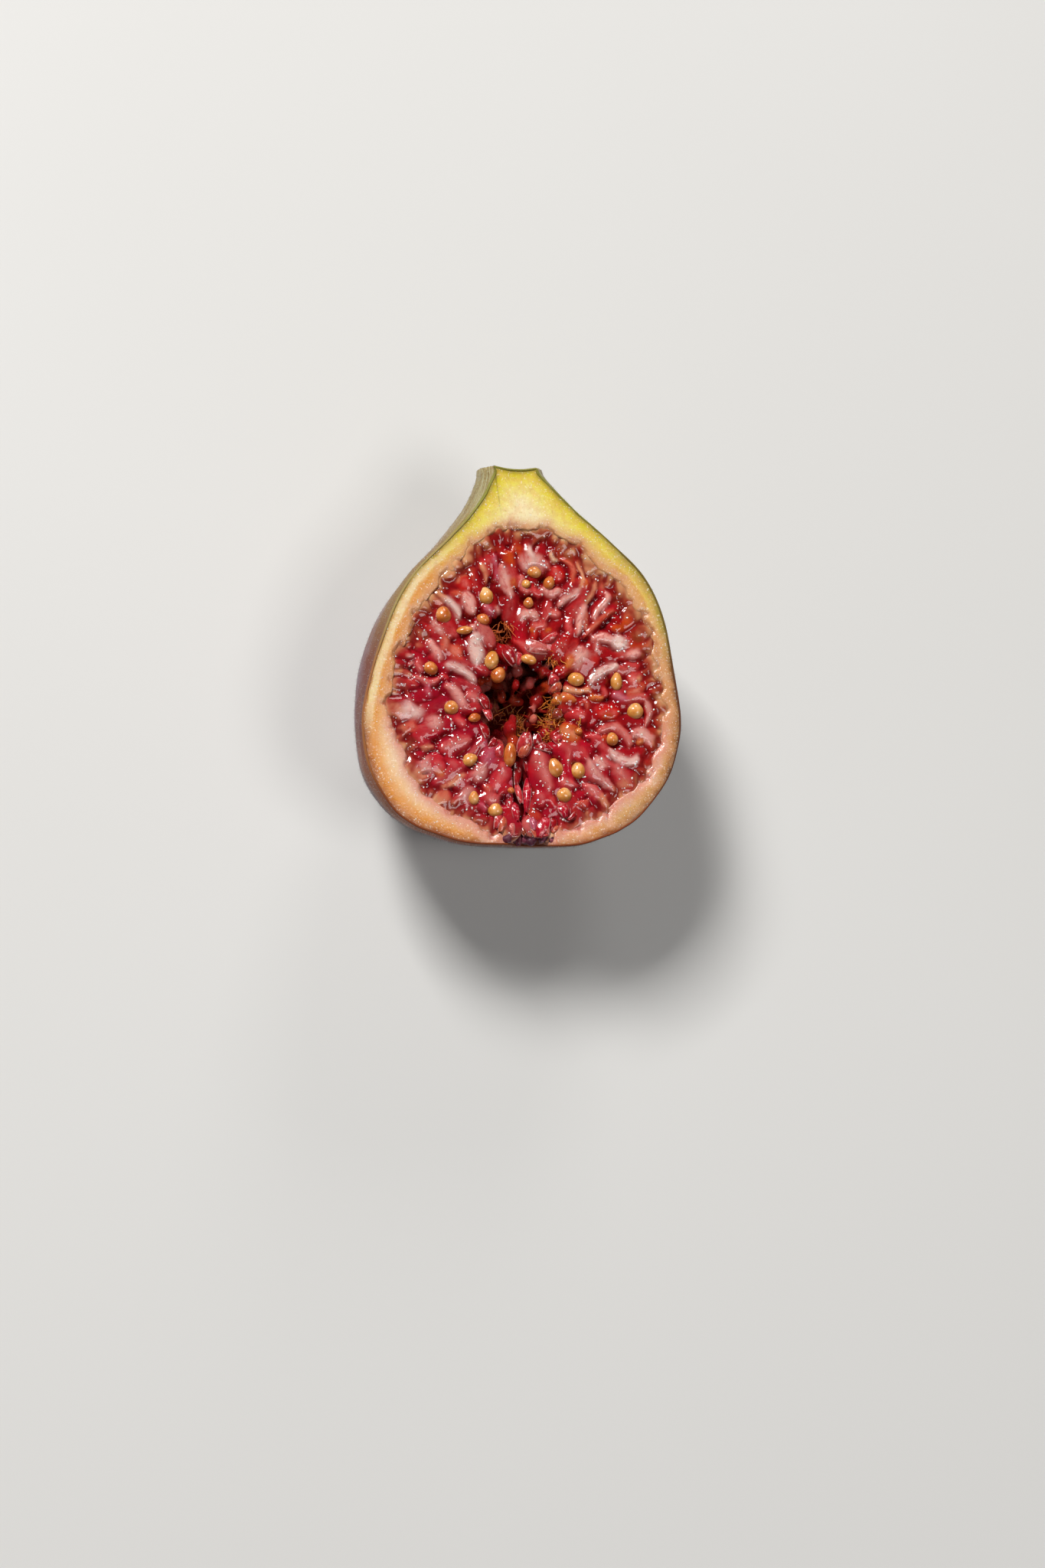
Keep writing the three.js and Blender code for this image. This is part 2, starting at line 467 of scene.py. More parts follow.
outer = skinRings()
outerNormals = ringNormals(outer)
outerNormals[0] = unit(outerNormals[0] * [1, 1, 0])  # the cut edge's own normals lie in the cut
cutEdge = outer[0, :, :2]
cutCurve = smoothCurve(cutEdge, 4, closed=True)
print(f"skin's outline measured: {np.ptp(cutEdge[:, 0]):.1f} by {np.ptp(cutEdge[:, 1]):.1f} mm on the cut")


def buildSkin(materials):
    # a thin shell with a rounded edge at the cut
    thickness = skinShape["thickness"]
    inner = outer - outerNormals * thickness
    lift = np.array([0, 0, skinShape["proud"]])
    lip = [
        inner[0] + lift * 0.2,
        inner[0] * 0.7 + outer[0] * 0.3 + lift,
        inner[0] * 0.35 + outer[0] * 0.65 + lift * 0.8,
    ]
    hidden = inner[skinShape["insideRings"]]
    bottom = np.array([*heart[:2], 0.0])
    mesh = ringMesh("fig_skin", bottom + [0, 0, thickness], np.concatenate([hidden, lip, outer]), bottom)
    points = meshPoints(mesh)
    # where each point lies round the fruit, its distance from the cut edge, and the dry end of the neck
    x, z = points[:, 0] - driftAt(points[:, 1]), points[:, 2] - fruit["axisHeight"]
    around = np.arctan2(x, -z)
    meridian = np.stack([np.sin(around), np.zeros_like(x), np.cos(around), np.ones_like(x)], -1)
    setValues(mesh, "meridian", meridian)
    outside = slice(1 + (len(hidden) + len(lip)) * len(angles), -1)
    below = np.zeros(len(points))
    below[outside] = np.linalg.norm(outer - outer[0], axis=-1).ravel()
    below[-1] = 20
    setValues(mesh, "below", below)
    stump = np.zeros(len(points))
    stump[outside] = (ease(outerNormals[..., 1], 0.7, 0.9) * (outer[..., 1] > 15)).ravel()
    setValues(mesh, "stump", stump)
    return finished("fig_skin", mesh, materials)


def buildRind(materials):
    # a thick bowl: its rim is the pale cut face, and the pulp fills it
    teeth = rindShape["lipTeeth"] * noiseAt(ringSpots(angles), 0.9, 4)
    calm = 1 - 0.6 * ease(-np.sin(angles), 0.1, 0.6)  # the lip is less ragged towards the eye
    lipReach = reachOf(pulpCurve, angles) + rindShape["lipOverlap"] + teeth * calm
    lip = heart + bearings(angles, 0.0) * lipReach[:, None]
    sunk = skinShape["thickness"] * rindShape["underSkin"]
    edge = outer[0] - outerNormals[0] * sunk
    share = np.linspace(0, 1, rindShape["rimSteps"])[:, None, None] ** 0.9
    rim = lip * (1 - share) + edge * share
    flat = rim.reshape(-1, 3)
    drop = rindShape["lipDrop"] * ease(frayAt(flat), -0.8, 0.5)
    (broad, broadWidth), (fine, fineWidth) = rindShape["waves"]
    waves = broad * noiseAt(flat * [1, 1, 0], broadWidth, 6) + fine * noiseAt(flat * [1, 1, 0], fineWidth, 7)
    flat[:, 2] = cutHeight - drop + waves - eyeDip(flat)
    rim = flat.reshape(rim.shape)
    slopes = np.radians(np.linspace(-88, -12, rindShape["wallSteps"]))[:, None] * np.ones_like(angles)
    walls = bearings(np.broadcast_to(angles, slopes.shape), slopes)
    wall = heart + walls * (skinReach(walls) * rindShape["bowl"])[..., None]
    back = outer[rindShape["backRings"]] - outerNormals[rindShape["backRings"]] * sunk
    bottom = np.array([*heart[:2], 0.2])
    mesh = ringMesh("fig_rind", bottom + [0, 0, 3], np.concatenate([wall, rim, back]), bottom)
    points = meshPoints(mesh)
    edge = edgeDistance(cutCurve, points)
    setValues(mesh, "edge", edge)
    setValues(mesh, "fray", frayAt(points))
    setValues(mesh, "inward", inPulpBy(points))
    setValues(mesh, "wet", (edge > 0.3) * (points[:, 2] > cutHeight - 0.6))
    return finished("fig_rind", mesh.copy(), materials), mesh


tones = {  # what a floret looks like where the knife opened it, and how high it stands against the cut
    "white": ("#e0beb2", 0.14),
    "pale": ("#d8988c", 0.12),
    "pink": ("#ca6058", 0.10),
    "rose": ("#c03032", 0.02),
    "lilac": ("#b85466", 0.02),
    "magenta": ("#b80c24", -0.02),
    "crimson": ("#980c12", -0.16),
    "jelly": ("#bc120a", 0.04),
    "amber": ("#bc4416", 0.0),
    "salmon": ("#c85a3e", 0.06),
    "peach": ("#dc9c74", 0.0),
    "cream": ("#e4c09a", 0.04),
    "orange": ("#c66a22", 0.05),
    "brown": ("#82341a", -0.32),
    "dusk": ("#6a1c16", -0.32),
}
scattered = {  # florets that are strewn by rule, and the tones that they are drawn from
    "filler": {
        "count": 120,
        "smallestGap": 0.2,
        "width": (0.9, 1.2),  # and wider in a wider gap
        "widest": 2.4,
        "slimness": (1.8, 3.2),  # length over width
        "lean": 0.22,
        "firm": (0.4, 0.8),
        "tones": ["crimson", "crimson", "crimson", "rose", "rose", "magenta", "jelly", "pink", "rose"],
        "tonesAtRind": ["brown", "crimson", "salmon", "rose", "amber"],
    },
    "pocket": {
        "length": (0.9, 1.6),
        "girth": (0.4, 0.65),
        "overlap": 0.1,  # reaches this far under the rind
        "tones": ["brown", "amber", "crimson", "brown", "salmon"],
    },
    "finger": {
        "length": (1.4, 3.0),
        "girth": (0.35, 0.65),
        "overlap": 0.3,
        "tones": ["peach", "cream", "peach", "salmon"],
    },
    "deep": {
        "count": 90,
        "length": (1.2, 2.4),
        "girth": (0.5, 0.95),
        "tones": ["rose", "pink", "salmon", "amber", "salmon", "magenta"],
    },
}
# The florets that show: tone, width, and the path from the rind inwards as x, y pairs. Places are
# as the view shows them, in millimetres from the fig's middle, and placeOf brings them to the cut.
florets = [
    # the left shoulder
    ("crimson", 1.3, -11.3, 1.6, -10.6, 0.9), ("brown", 1.4, -11.6, 3.2, -10.7, 2.4),
    ("brown", 1.2, -7.7, 10.1, -7.4, 9.0), ("brown", 1.4, -5.9, 12.3, -5.4, 11.2),
    ("brown", 1.3, -3.2, 13.4, -2.8, 12.6), ("jelly", 1.9, -6.7, 9.1, -5.7, 8.1),
    ("salmon", 0.8, -9.0, 8.4, -7.5, 7.8, -6.2, 7.1), ("salmon", 1.4, -7.7, 1.1, -6.8, 0.2),
    ("white", 1.0, -9.7, 7.7, -8.9, 7.2, -7.9, 6.5, -7.1, 5.5, -6.9, 4.4),
    ("pale", 0.4, -9.4, 6.0, -9.8, 5.2, -9.7, 4.5), ("pale", 1.3, -5.9, 7.3, -5.7, 6.3, -5.3, 5.2),
    ("pale", 0.8, -12.1, 4.1, -11.1, 4.5, -10.3, 4.4, -9.6, 3.6, -9.0, 2.9, -8.3, 2.3),
    ("pale", 1.1, -10.4, 2.0, -9.6, 0.9, -8.9, 0.1), ("salmon", 1.2, -8.5, 2.4, -8.3, 1.6, -8.6, 0.8),
    ("white", 0.9, -14.4, 0.5, -13.5, 0.4, -12.5, 0.4), ("pale", 0.5, -13.5, -1.1, -12.3, -0.3),
    ("pink", 1.0, -11.9, -0.4, -11.3, -1.5), ("white", 1.9, -4.9, 2.5, -4.8, 1.0, -4.6, -0.5),
    ("white", 1.3, -8.3, -0.7, -7.0, -1.2, -5.8, -2.0, -4.8, -2.9),
    ("peach", 0.9, -14.7, -1.9, -12.7, -2.0), ("rose", 1.0, -12.2, -2.2, -11.4, -2.5),
    ("lilac", 0.9, -3.9, 6.0, -3.2, 5.2), ("pale", 0.7, -2.5, 5.9, -1.9, 5.3),
    ("pale", 0.7, -5.4, 3.7, -5.0, 3.1),
    # below the neck
    ("peach", 0.6, -5.1, 13.0, -4.8, 11.8, -4.2, 10.6, -3.8, 9.8, -3.4, 8.5),
    ("cream", 1.0, -2.3, 14.8, -2.0, 13.5), ("lilac", 0.7, -2.9, 12.4, -2.6, 10.6, -2.3, 8.7),
    ("pale", 1.3, -1.9, 10.7, -1.5, 9.4, -1.3, 8.3, -0.8, 7.3), ("orange", 0.8, -0.6, 9.0, -0.6, 7.9),
    ("salmon", 0.5, -0.4, 14.5, -0.5, 13.1, -0.7, 11.9), ("amber", 1.4, -1.2, 12.1, -0.7, 11.0),
    ("orange", 0.5, -4.1, 13.7, -4.1, 13.0), ("cream", 1.1, -7.7, 11.5, -6.8, 10.3),
    ("salmon", 0.5, -5.4, 10.5, -5.2, 9.1), ("pale", 2.2, 0.8, 10.6, 1.9, 11.2, 3.0, 10.8),
    ("white", 0.8, 3.0, 13.9, 2.0, 13.8, 1.5, 13.2, 1.5, 12.4, 1.9, 11.7),
    ("pink", 1.0, 3.1, 11.4, 3.5, 10.3), ("brown", 1.0, 4.1, 13.8, 4.6, 13.3),
    ("cream", 0.5, 5.3, 13.4, 4.5, 13.0, 4.0, 12.3, 4.1, 11.5, 4.8, 11.1),
    ("pink", 1.1, 0.3, 9.5, 0.6, 8.3, 1.3, 7.7), ("pale", 1.1, 3.0, 8.0, 3.9, 7.2, 4.9, 7.8),
    ("jelly", 1.5, 4.3, 10.1, 4.8, 9.2), ("rose", 1.0, 1.9, 7.9, 2.6, 7.2),
    ("brown", 1.4, 5.8, 12.2, 6.3, 11.5),
    # the right shoulder
    ("salmon", 0.8, 5.2, 11.6, 6.2, 10.9, 6.5, 9.8, 6.3, 8.6), ("brown", 0.9, 8.1, 10.9, 8.5, 9.9),
    ("peach", 0.6, 8.0, 12.0, 7.1, 11.8, 7.2, 10.8, 7.5, 9.9, 7.6, 8.9, 7.3, 7.9),
    ("pale", 0.9, 7.3, 8.0, 6.4, 7.3, 5.4, 6.6, 4.7, 5.9), ("orange", 0.5, 8.1, 9.2, 8.1, 8.1),
    ("peach", 0.65, 9.9, 10.0, 9.4, 9.2, 9.0, 8.2, 8.6, 7.3, 8.0, 6.1),
    ("pale", 1.0, 8.1, 6.3, 7.4, 5.0, 7.2, 4.0, 7.0, 2.6), ("salmon", 0.6, 8.2, 5.5, 8.0, 4.2, 7.9, 2.9),
    ("brown", 1.0, 10.1, 8.6, 11.0, 8.4),
    ("pale", 1.1, 10.3, 7.8, 10.7, 7.0, 10.2, 6.2, 9.5, 5.4, 9.0, 4.3),
    ("amber", 1.3, 12.9, 5.5, 13.0, 4.3, 12.1, 3.4, 11.0, 3.3), ("crimson", 0.8, 11.5, 4.7, 12.1, 4.1),
    ("salmon", 0.7, 11.6, 5.7, 10.4, 4.7, 9.4, 3.8, 8.4, 2.9, 7.5, 2.2),
    ("pale", 1.2, 8.7, 2.1, 9.9, 2.2, 10.9, 1.9, 12.5, 1.6), ("white", 1.7, 11.1, 1.8, 12.4, 1.5),
    ("pink", 0.8, 9.4, 1.7, 9.0, 1.0), ("crimson", 1.8, 10.1, 0.6, 11.1, -0.4),
    ("brown", 1.6, 13.8, 3.0, 14.5, 1.9), ("jelly", 0.8, 8.4, -0.2, 9.3, -0.8),
    ("pale", 1.1, 12.7, 0.0, 13.6, 0.2, 14.7, 0.6),
    ("rose", 0.7, 12.5, -0.7, 13.8, -1.1, 14.8, -0.8, 15.3, 0.0, 15.2, 1.0),
    ("pale", 2.0, 7.7, 0.4, 7.0, 0.0, 6.5, -0.7), ("orange", 1.0, 6.2, 0.0, 5.8, -0.9),
    ("pale", 1.3, 0.3, 4.7, 1.2, 5.0, 2.3, 4.9), ("pink", 0.8, 1.8, 3.7, 3.4, 3.9),
    ("orange", 0.6, 1.4, 3.3, 1.9, 3.1), ("orange", 0.6, 3.3, 3.3, 4.0, 3.1),
    ("pink", 1.0, 3.7, 5.2, 4.7, 5.0), ("rose", 1.0, 5.8, 4.2, 6.0, 2.9),
    ("rose", 1.7, 0.3, 1.7, 1.6, 1.0, 3.0, 1.0, 4.0, 1.9, 4.5, 2.5),
    ("crimson", 1.4, -1.4, 1.2, -0.9, 0.4, -0.6, -0.6),
    # right of the hollow
    ("white", 1.1, 11.6, -1.0, 10.6, -1.3, 9.8, -1.7, 8.9, -2.3, 8.3, -3.1),
    ("peach", 0.8, 8.5, -3.6, 7.3, -4.0, 6.3, -3.7, 5.5, -2.9),
    ("orange", 0.9, 4.5, -4.1, 5.5, -4.8, 6.6, -5.0), ("orange", 0.9, 8.4, -4.6, 9.9, -4.7),
    ("rose", 0.7, 9.9, -3.5, 10.4, -4.5), ("lilac", 1.2, 11.3, -4.4, 12.7, -4.9),
    ("salmon", 0.9, 15.4, -3.4, 14.0, -3.9, 12.8, -4.2), ("pink", 1.1, 14.0, -3.0, 13.1, -2.6),
    ("peach", 0.8, 16.3, -1.9, 15.0, -2.3, 14.0, -2.9),
    ("pale", 1.0, 15.0, -5.1, 15.6, -6.0, 15.7, -7.0, 15.2, -7.9), ("jelly", 1.7, 9.5, -6.6, 11.5, -6.6),
    ("amber", 0.9, 10.1, -7.0, 10.9, -7.0),
    ("salmon", 0.4, 7.2, -6.3, 7.2, -5.6, 7.7, -5.3, 8.1, -5.7, 8.0, -6.6),
    ("rose", 1.2, 6.8, -6.7, 7.7, -6.9), ("crimson", 1.5, 8.2, -6.8, 9.0, -7.3),
    ("pink", 1.2, 9.4, -8.7, 10.8, -8.2, 12.0, -8.5, 12.8, -9.4, 13.0, -10.4),
    ("pale", 1.6, 13.5, -9.0, 14.6, -8.8, 15.4, -9.4, 15.3, -10.2),
    ("orange", 0.9, 14.0, -9.8, 14.6, -9.9), ("amber", 1.0, 10.7, -9.6, 9.8, -9.6),
    ("orange", 2.0, 5.9, -8.5, 6.6, -9.1), ("salmon", 0.9, 5.2, -8.7, 5.3, -9.5),
    ("rose", 0.8, 7.9, -9.2, 9.8, -9.4), ("pink", 0.7, 6.0, -10.1, 5.9, -11.2, 5.9, -12.7),
    ("crimson", 0.8, 8.2, -10.4, 9.3, -10.6),
    # below on the right
    ("white", 1.2, 10.8, -10.7, 11.7, -11.6, 12.8, -12.2, 13.8, -12.1, 14.6, -11.5),
    ("cream", 0.9, 14.8, -13.3, 13.3, -12.8), ("brown", 0.9, 14.9, -11.9, 15.0, -12.7),
    ("pale", 1.5, 9.4, -11.9, 10.1, -12.7), ("pink", 2.0, 13.0, -14.8, 12.3, -13.8, 11.4, -12.7),
    ("peach", 0.9, 13.2, -14.9, 12.5, -14.6), ("rose", 0.9, 8.2, -11.7, 7.3, -10.6),
    ("pale", 1.2, 11.6, -15.8, 10.6, -14.9, 9.7, -13.9, 8.9, -13.0, 8.2, -11.7),
    ("crimson", 0.9, 10.2, -13.1, 10.3, -13.7), ("pink", 1.7, 10.2, -16.8, 9.0, -15.7, 7.9, -15.0),
    ("peach", 1.1, 10.2, -17.4, 10.2, -16.7), ("pink", 1.1, 6.8, -15.1, 5.1, -14.5),
    ("salmon", 0.9, 8.4, -17.5, 7.1, -17.2), ("salmon", 0.9, 9.1, -17.9, 8.1, -18.1),
    ("brown", 0.6, 11.7, -16.3, 11.1, -16.5), ("crimson", 1.0, 7.5, -16.2, 6.9, -16.2),
    ("jelly", 1.6, 2.1, -13.6, 1.8, -12.3, 2.0, -11.2),
    ("pink", 1.1, 4.1, -15.4, 3.5, -14.4, 3.1, -13.2, 2.9, -12.0, 2.6, -10.9),
    ("rose", 1.3, 2.9, -17.2, 2.7, -15.9), ("jelly", 1.0, 4.1, -17.1, 3.8, -16.3),
    ("orange", 0.4, 2.0, -17.3, 2.1, -16.0, 2.3, -14.8),
    # left of the hollow
    ("white", 2.2, -14.2, -6.3, -13.0, -6.2, -11.6, -6.7), ("pale", 0.8, -14.6, -6.7, -14.4, -7.7),
    ("salmon", 1.6, -13.1, -8.4, -12.2, -7.9), ("pale", 1.8, -10.1, -7.6, -9.4, -7.7),
    ("pale", 1.3, -8.4, -3.4, -7.4, -4.1, -6.6, -5.1, -6.0, -5.9), ("pink", 1.2, -5.9, -4.3, -4.7, -4.9),
    ("pink", 0.9, -12.5, -2.0, -11.4, -2.5, -10.6, -3.0, -9.8, -3.0, -9.2, -2.5),
    ("lilac", 0.9, -10.5, -3.3, -10.1, -4.6), ("jelly", 0.8, -8.9, -2.2, -8.1, -2.5),
    ("magenta", 0.5, -10.2, -9.5, -8.6, -8.8, -7.4, -8.4), ("peach", 0.7, -11.6, -10.6, -9.6, -10.5),
    ("pink", 1.5, -8.8, -10.6, -7.2, -10.2, -5.6, -9.4), ("rose", 1.0, -12.8, -9.3, -11.1, -9.7),
    ("rose", 1.2, -7.0, -7.4, -6.2, -7.9), ("lilac", 0.8, -4.0, -9.5, -3.8, -10.5),
    ("rose", 0.9, -4.6, -4.5, -4.1, -5.4, -3.8, -6.2, -3.6, -7.1, -3.7, -8.0, -4.0, -9.0, -4.2, -9.9),
    # below on the left
    ("pale", 2.4, -11.4, -13.3, -10.8, -12.9, -10.0, -13.0), ("rose", 1.8, -9.6, -12.4, -8.9, -12.9),
    ("orange", 1.0, -9.5, -13.4, -8.9, -13.6), ("peach", 0.7, -12.2, -13.7, -11.2, -14.4, -10.5, -15.0),
    ("peach", 0.7, -10.8, -15.7, -9.0, -15.3, -7.8, -14.8, -7.0, -14.1, -6.1, -13.5),
    ("rose", 1.3, -7.6, -12.2, -7.0, -12.8), ("pale", 2.0, -6.4, -16.6, -6.0, -16.1, -5.6, -15.9),
    ("salmon", 1.5, -9.1, -16.1, -8.2, -16.7), ("salmon", 0.9, -8.7, -17.5, -7.7, -17.3),
    ("salmon", 0.7, -7.3, -18.1, -5.8, -18.4), ("crimson", 0.8, -5.7, -18.6, -4.4, -18.9, -2.9, -19.3),
    ("lilac", 1.7, -3.6, -12.4, -3.1, -11.1), ("pale", 1.7, -5.0, -14.1, -3.8, -12.9),
    ("rose", 1.7, -3.0, -15.4, -2.2, -14.3, -1.7, -13.0), ("pink", 0.6, -2.0, -12.9, -1.6, -12.3),
    ("salmon", 0.8, -3.8, -14.9, -3.3, -15.5), ("pink", 1.6, -3.4, -16.2, -2.4, -17.0),
    ("lilac", 0.9, -4.2, -17.3, -3.7, -18.1),
    # around the channel
    ("pink", 0.25, 0.2, -11.8, 0.0, -12.5, -0.5, -13.2, -1.1, -13.1),
    ("lilac", 0.4, -0.4, -14.4, 0.2, -15.1), ("rose", 1.1, -0.3, -16.9, 0.1, -18.3, 0.0, -19.0),
    ("salmon", 0.5, 1.3, -9.8, 2.3, -9.5), ("pink", 1.3, 5.0, -17.1, 5.5, -18.6),
    ("orange", 0.6, 5.2, -18.8, 5.6, -19.0), ("jelly", 0.7, -1.1, -18.0, -1.1, -18.5),
]
# the same, hanging in the hollow: tone, width, depth below the cut, path
hungFlorets = [
    ("rose", 0.9, 5.2, 0.2, -3.6, 0.8, -3.6), ("brown", 1.0, 6.6, -1.2, -5.4, -0.3, -5.2, 0.7, -5.4),
    ("crimson", 1.6, 5.9, 1.4, -5.5, 3.0, -4.9), ("pink", 0.4, 4.8, 1.1, -5.9, 1.8, -6.0, 1.9, -6.7),
    ("rose", 1.2, 5.6, -1.1, -7.3, -0.2, -7.5), ("crimson", 1.8, 5.2, -1.7, -8.3, -0.2, -8.6),
    ("pink", 0.3, 4.0, -2.3, -6.5, -1.2, -6.8), ("magenta", 1.1, 3.4, 2.6, -9.0, 3.8, -8.7),
    ("amber", 0.6, 2.0, 3.8, -9.5, 5.0, -8.9), ("crimson", 1.5, 1.7, 3.6, -2.1, 4.9, -2.6),
    ("rose", 1.6, 2.1, 3.8, -3.4, 4.8, -4.0), ("brown", 1.3, 3.4, 3.4, -6.3, 4.6, -6.6),
    ("brown", 1.3, 2.6, 2.4, -1.6, 3.4, -2.0), ("amber", 0.9, 3.6, 2.6, -3.1, 3.6, -3.5),
    ("rose", 1.3, 4.4, 0.7, -2.9, 1.9, -3.2), ("crimson", 1.2, 3.4, -0.7, -3.2, 0.2, -3.4),
    ("brown", 1.4, 4.2, -2.4, -4.6, -1.5, -4.6), ("salmon", 1.0, 3.8, 1.4, -7.0, 2.2, -7.4),
    ("amber", 1.0, 3.0, 4.0, -7.9, 5.1, -8.0), ("dusk", 1.5, 7.6, 0.6, -7.6, 2.2, -7.7),
    ("rose", 1.1, 4.2, -0.8, -1.9, 0.6, -1.5),
]
# seeds: place, width, height, turn in degrees, share of orange
seeds = [
    (-3.6, 7.1, 1.8, 2.0, 10, 0.1), (-8.6, 4.9, 2.0, 1.9, 0, 0.75), (-4.0, 4.4, 1.6, 1.2, -30, 0.9),
    (-6.2, 3.1, 1.9, 0.9, 8, 0.35), (-3.0, -0.4, 1.8, 2.1, -20, 0.1), (-2.2, -2.1, 1.7, 1.9, -30, 0.9),
    (-10.1, -1.3, 1.8, 1.5, -20, 0.75), (-7.7, -5.9, 1.8, 1.6, 0, 0.55), (-5.0, -7.1, 1.6, 1.0, 15, 0.9),
    (-5.5, -12.0, 1.9, 1.4, 30, 0.15), (-5.1, -16.5, 1.3, 1.5, 0, 0.4), (-2.55, -17.9, 1.8, 1.5, 0, 0.3),
    (2.0, 9.9, 1.8, 1.3, 0, 0.5), (3.7, 8.6, 1.3, 1.6, -20, 0.8), (1.3, 6.3, 1.2, 1.2, 0, 0.75),
    (1.0, 8.5, 1.1, 0.9, 20, 0.0), (1.3, -0.3, 1.9, 1.1, -15, 0.2), (6.9, -2.6, 2.0, 1.6, 0, 0.1),
    (11.6, -2.9, 1.4, 2.1, 0, 0.1), (13.8, -6.3, 2.1, 1.9, 0, 0.1), (11.1, -9.6, 1.5, 1.5, 0, 0.5),
    (4.5, -13.0, 1.9, 2.2, 20, 0.45), (7.15, -13.3, 1.8, 1.8, 0, 0.15), (5.5, -16.1, 1.9, 1.7, -15, 0.2),
    (-0.85, -11.5, 1.6, 2.7, 0, 0.95), (7.1, -8.7, 0.9, 0.8, 0, 0.8), (-0.8, -15.6, 0.8, 0.7, 0, 0.9),
]

pulpShape = {
    "voxel": 0.163,
    "around": 320,
    "bedDepth": 0.85,  # the jelly between the florets lies this far below the cut
    "borderLift": 0.7,  # and this much less at the rind
    "bedWaves": [(0.16, 2.2), (0.08, 0.9)],  # height and width of its unevenness
    "seatDepth": 15.0,  # how deep the pulp reaches under the hollow
    "underside": 0.6,  # its hidden cone starts this far under the bed
    "overshoot": 0.9,  # the pulp carries on this far under the rind's lip
    "skinGap": 0.7,  # but stays this far inside the skin
    "hollowEase": 0.65,  # the hollow is cut this much wider, since the florets swell into it
    "wallSteepness": 0.42,  # lower is steeper
    "borderFingers": 48,
    "hungShare": 0.8,  # the listed depths in the hollow are taken by this share
    "fullness": 1.3,  # the florets are this much wider than the pale hearts listed above
    "cleftDepth": 0.24,  # the cleft between two florets
    "graze": 0.26,  # no floret stands further above the cut than about this
    "grazeWaves": (0.14, 1.6),  # give or take this height, in waves of this width
    "grazeSoftness": 0.12,
    "cupRim": 0.15,  # the cup round a seed: how far its rim and then its middle lie below the cut
    "cupDepth": 0.45,
    "fuzz": [(0.03, 0.7), (0.02, 0.55)],  # height and width of lumps and of fibres
    "softening": 4,  # rounds of smoothing that run the colours into each other
}
floretLook = {
    "blood": "#a40c10",  # the jelly that stains a floret's edge
    "stain": 0.75,
    "crownHighlight": "#f2ccbc",  # a painted highlight: the pale colour on its crown
    "crownHighlightShare": 0.22,
    "shades": (0.88, 1.1),  # how dark and how light florets of one tone come out
    "standing": (-0.12, 0.1),  # and how low and how high they stand
    "swell": 1.4,  # a floret lifts the bed out to this many times its girth
    "fade": (0.55, 1.22),  # and its colour fades out between these
    "weld": 0.24,  # how widely two florets run into each other
    "wander": (1.8, 0.2),  # width and distance of the swing in a floret's outline
    "ragged": [(0.12, 0.6), (0.06, 0.25)],  # distance and width of its raggedness
}
# narrow gashes and holes in the face: half-width, depth, path
gashes = [
    (1.4, 2.1, 0.6, -12.2, 0.5, -15.0, 0.55, -17.4, 0.6, -18.4), (0.7, 2.0, 0.6, -18.0, 0.8, -21.0),
    (1.35, 5.0, -2.0, 3.7, -1.3, 2.4), (0.16, 0.6, 7.1, -14.6, 8.8, -14.7, 9.8, -15.2, 10.3, -16.1),
    (0.4, 1.3, -1.5, -16.5, -1.5, -17.0),
    (0.15, 0.5, -11.3, -12.0, -10.3, -11.1, -9.5, -11.0, -8.5, -11.6), (0.4, 1.0, 4.3, -19.3, 4.5, -19.5),
    (0.13, 0.4, -11.1, -13.7, -10.3, -13.6),
]


def pathOf(pairs, steps=8, height=cutHeight):
    # a smooth path on the cut from its x, y pairs
    spots = [placeOf(u, v, height) for u, v in zip(pairs[::2], pairs[1::2])]
    return smoothCurve(spots, steps)


def gashDepth(points, widest):
    # how far the gashes go down at each point; widest chooses the holes or the narrow cracks
    total = np.zeros(points.shape[:-1])
    for half, depth, *pairs in gashes:
        if (half > 0.5) != widest:
            continue
        path = pathOf(pairs)
        away = np.linalg.norm(points[..., None, :2] - path, axis=-1).min(-1)
        total = np.maximum(total, depth * np.exp(-((away / half) ** 4)))
    return total


def pulpEnd(turn):
    # the pulp carries on a little way under the rind, but never as far as the skin
    wanted = reachOf(pulpCurve, turn) + pulpShape["overshoot"]
    return np.minimum(wanted, reachOf(cutEdge, turn) - pulpShape["skinGap"])


def coneHeight(share):
    # the hidden underside's height, from its rim, at 0, to its middle, at 1
    return cutHeight - pulpShape["bedDepth"] - pulpShape["underside"] - pulpShape["seatDepth"] * share


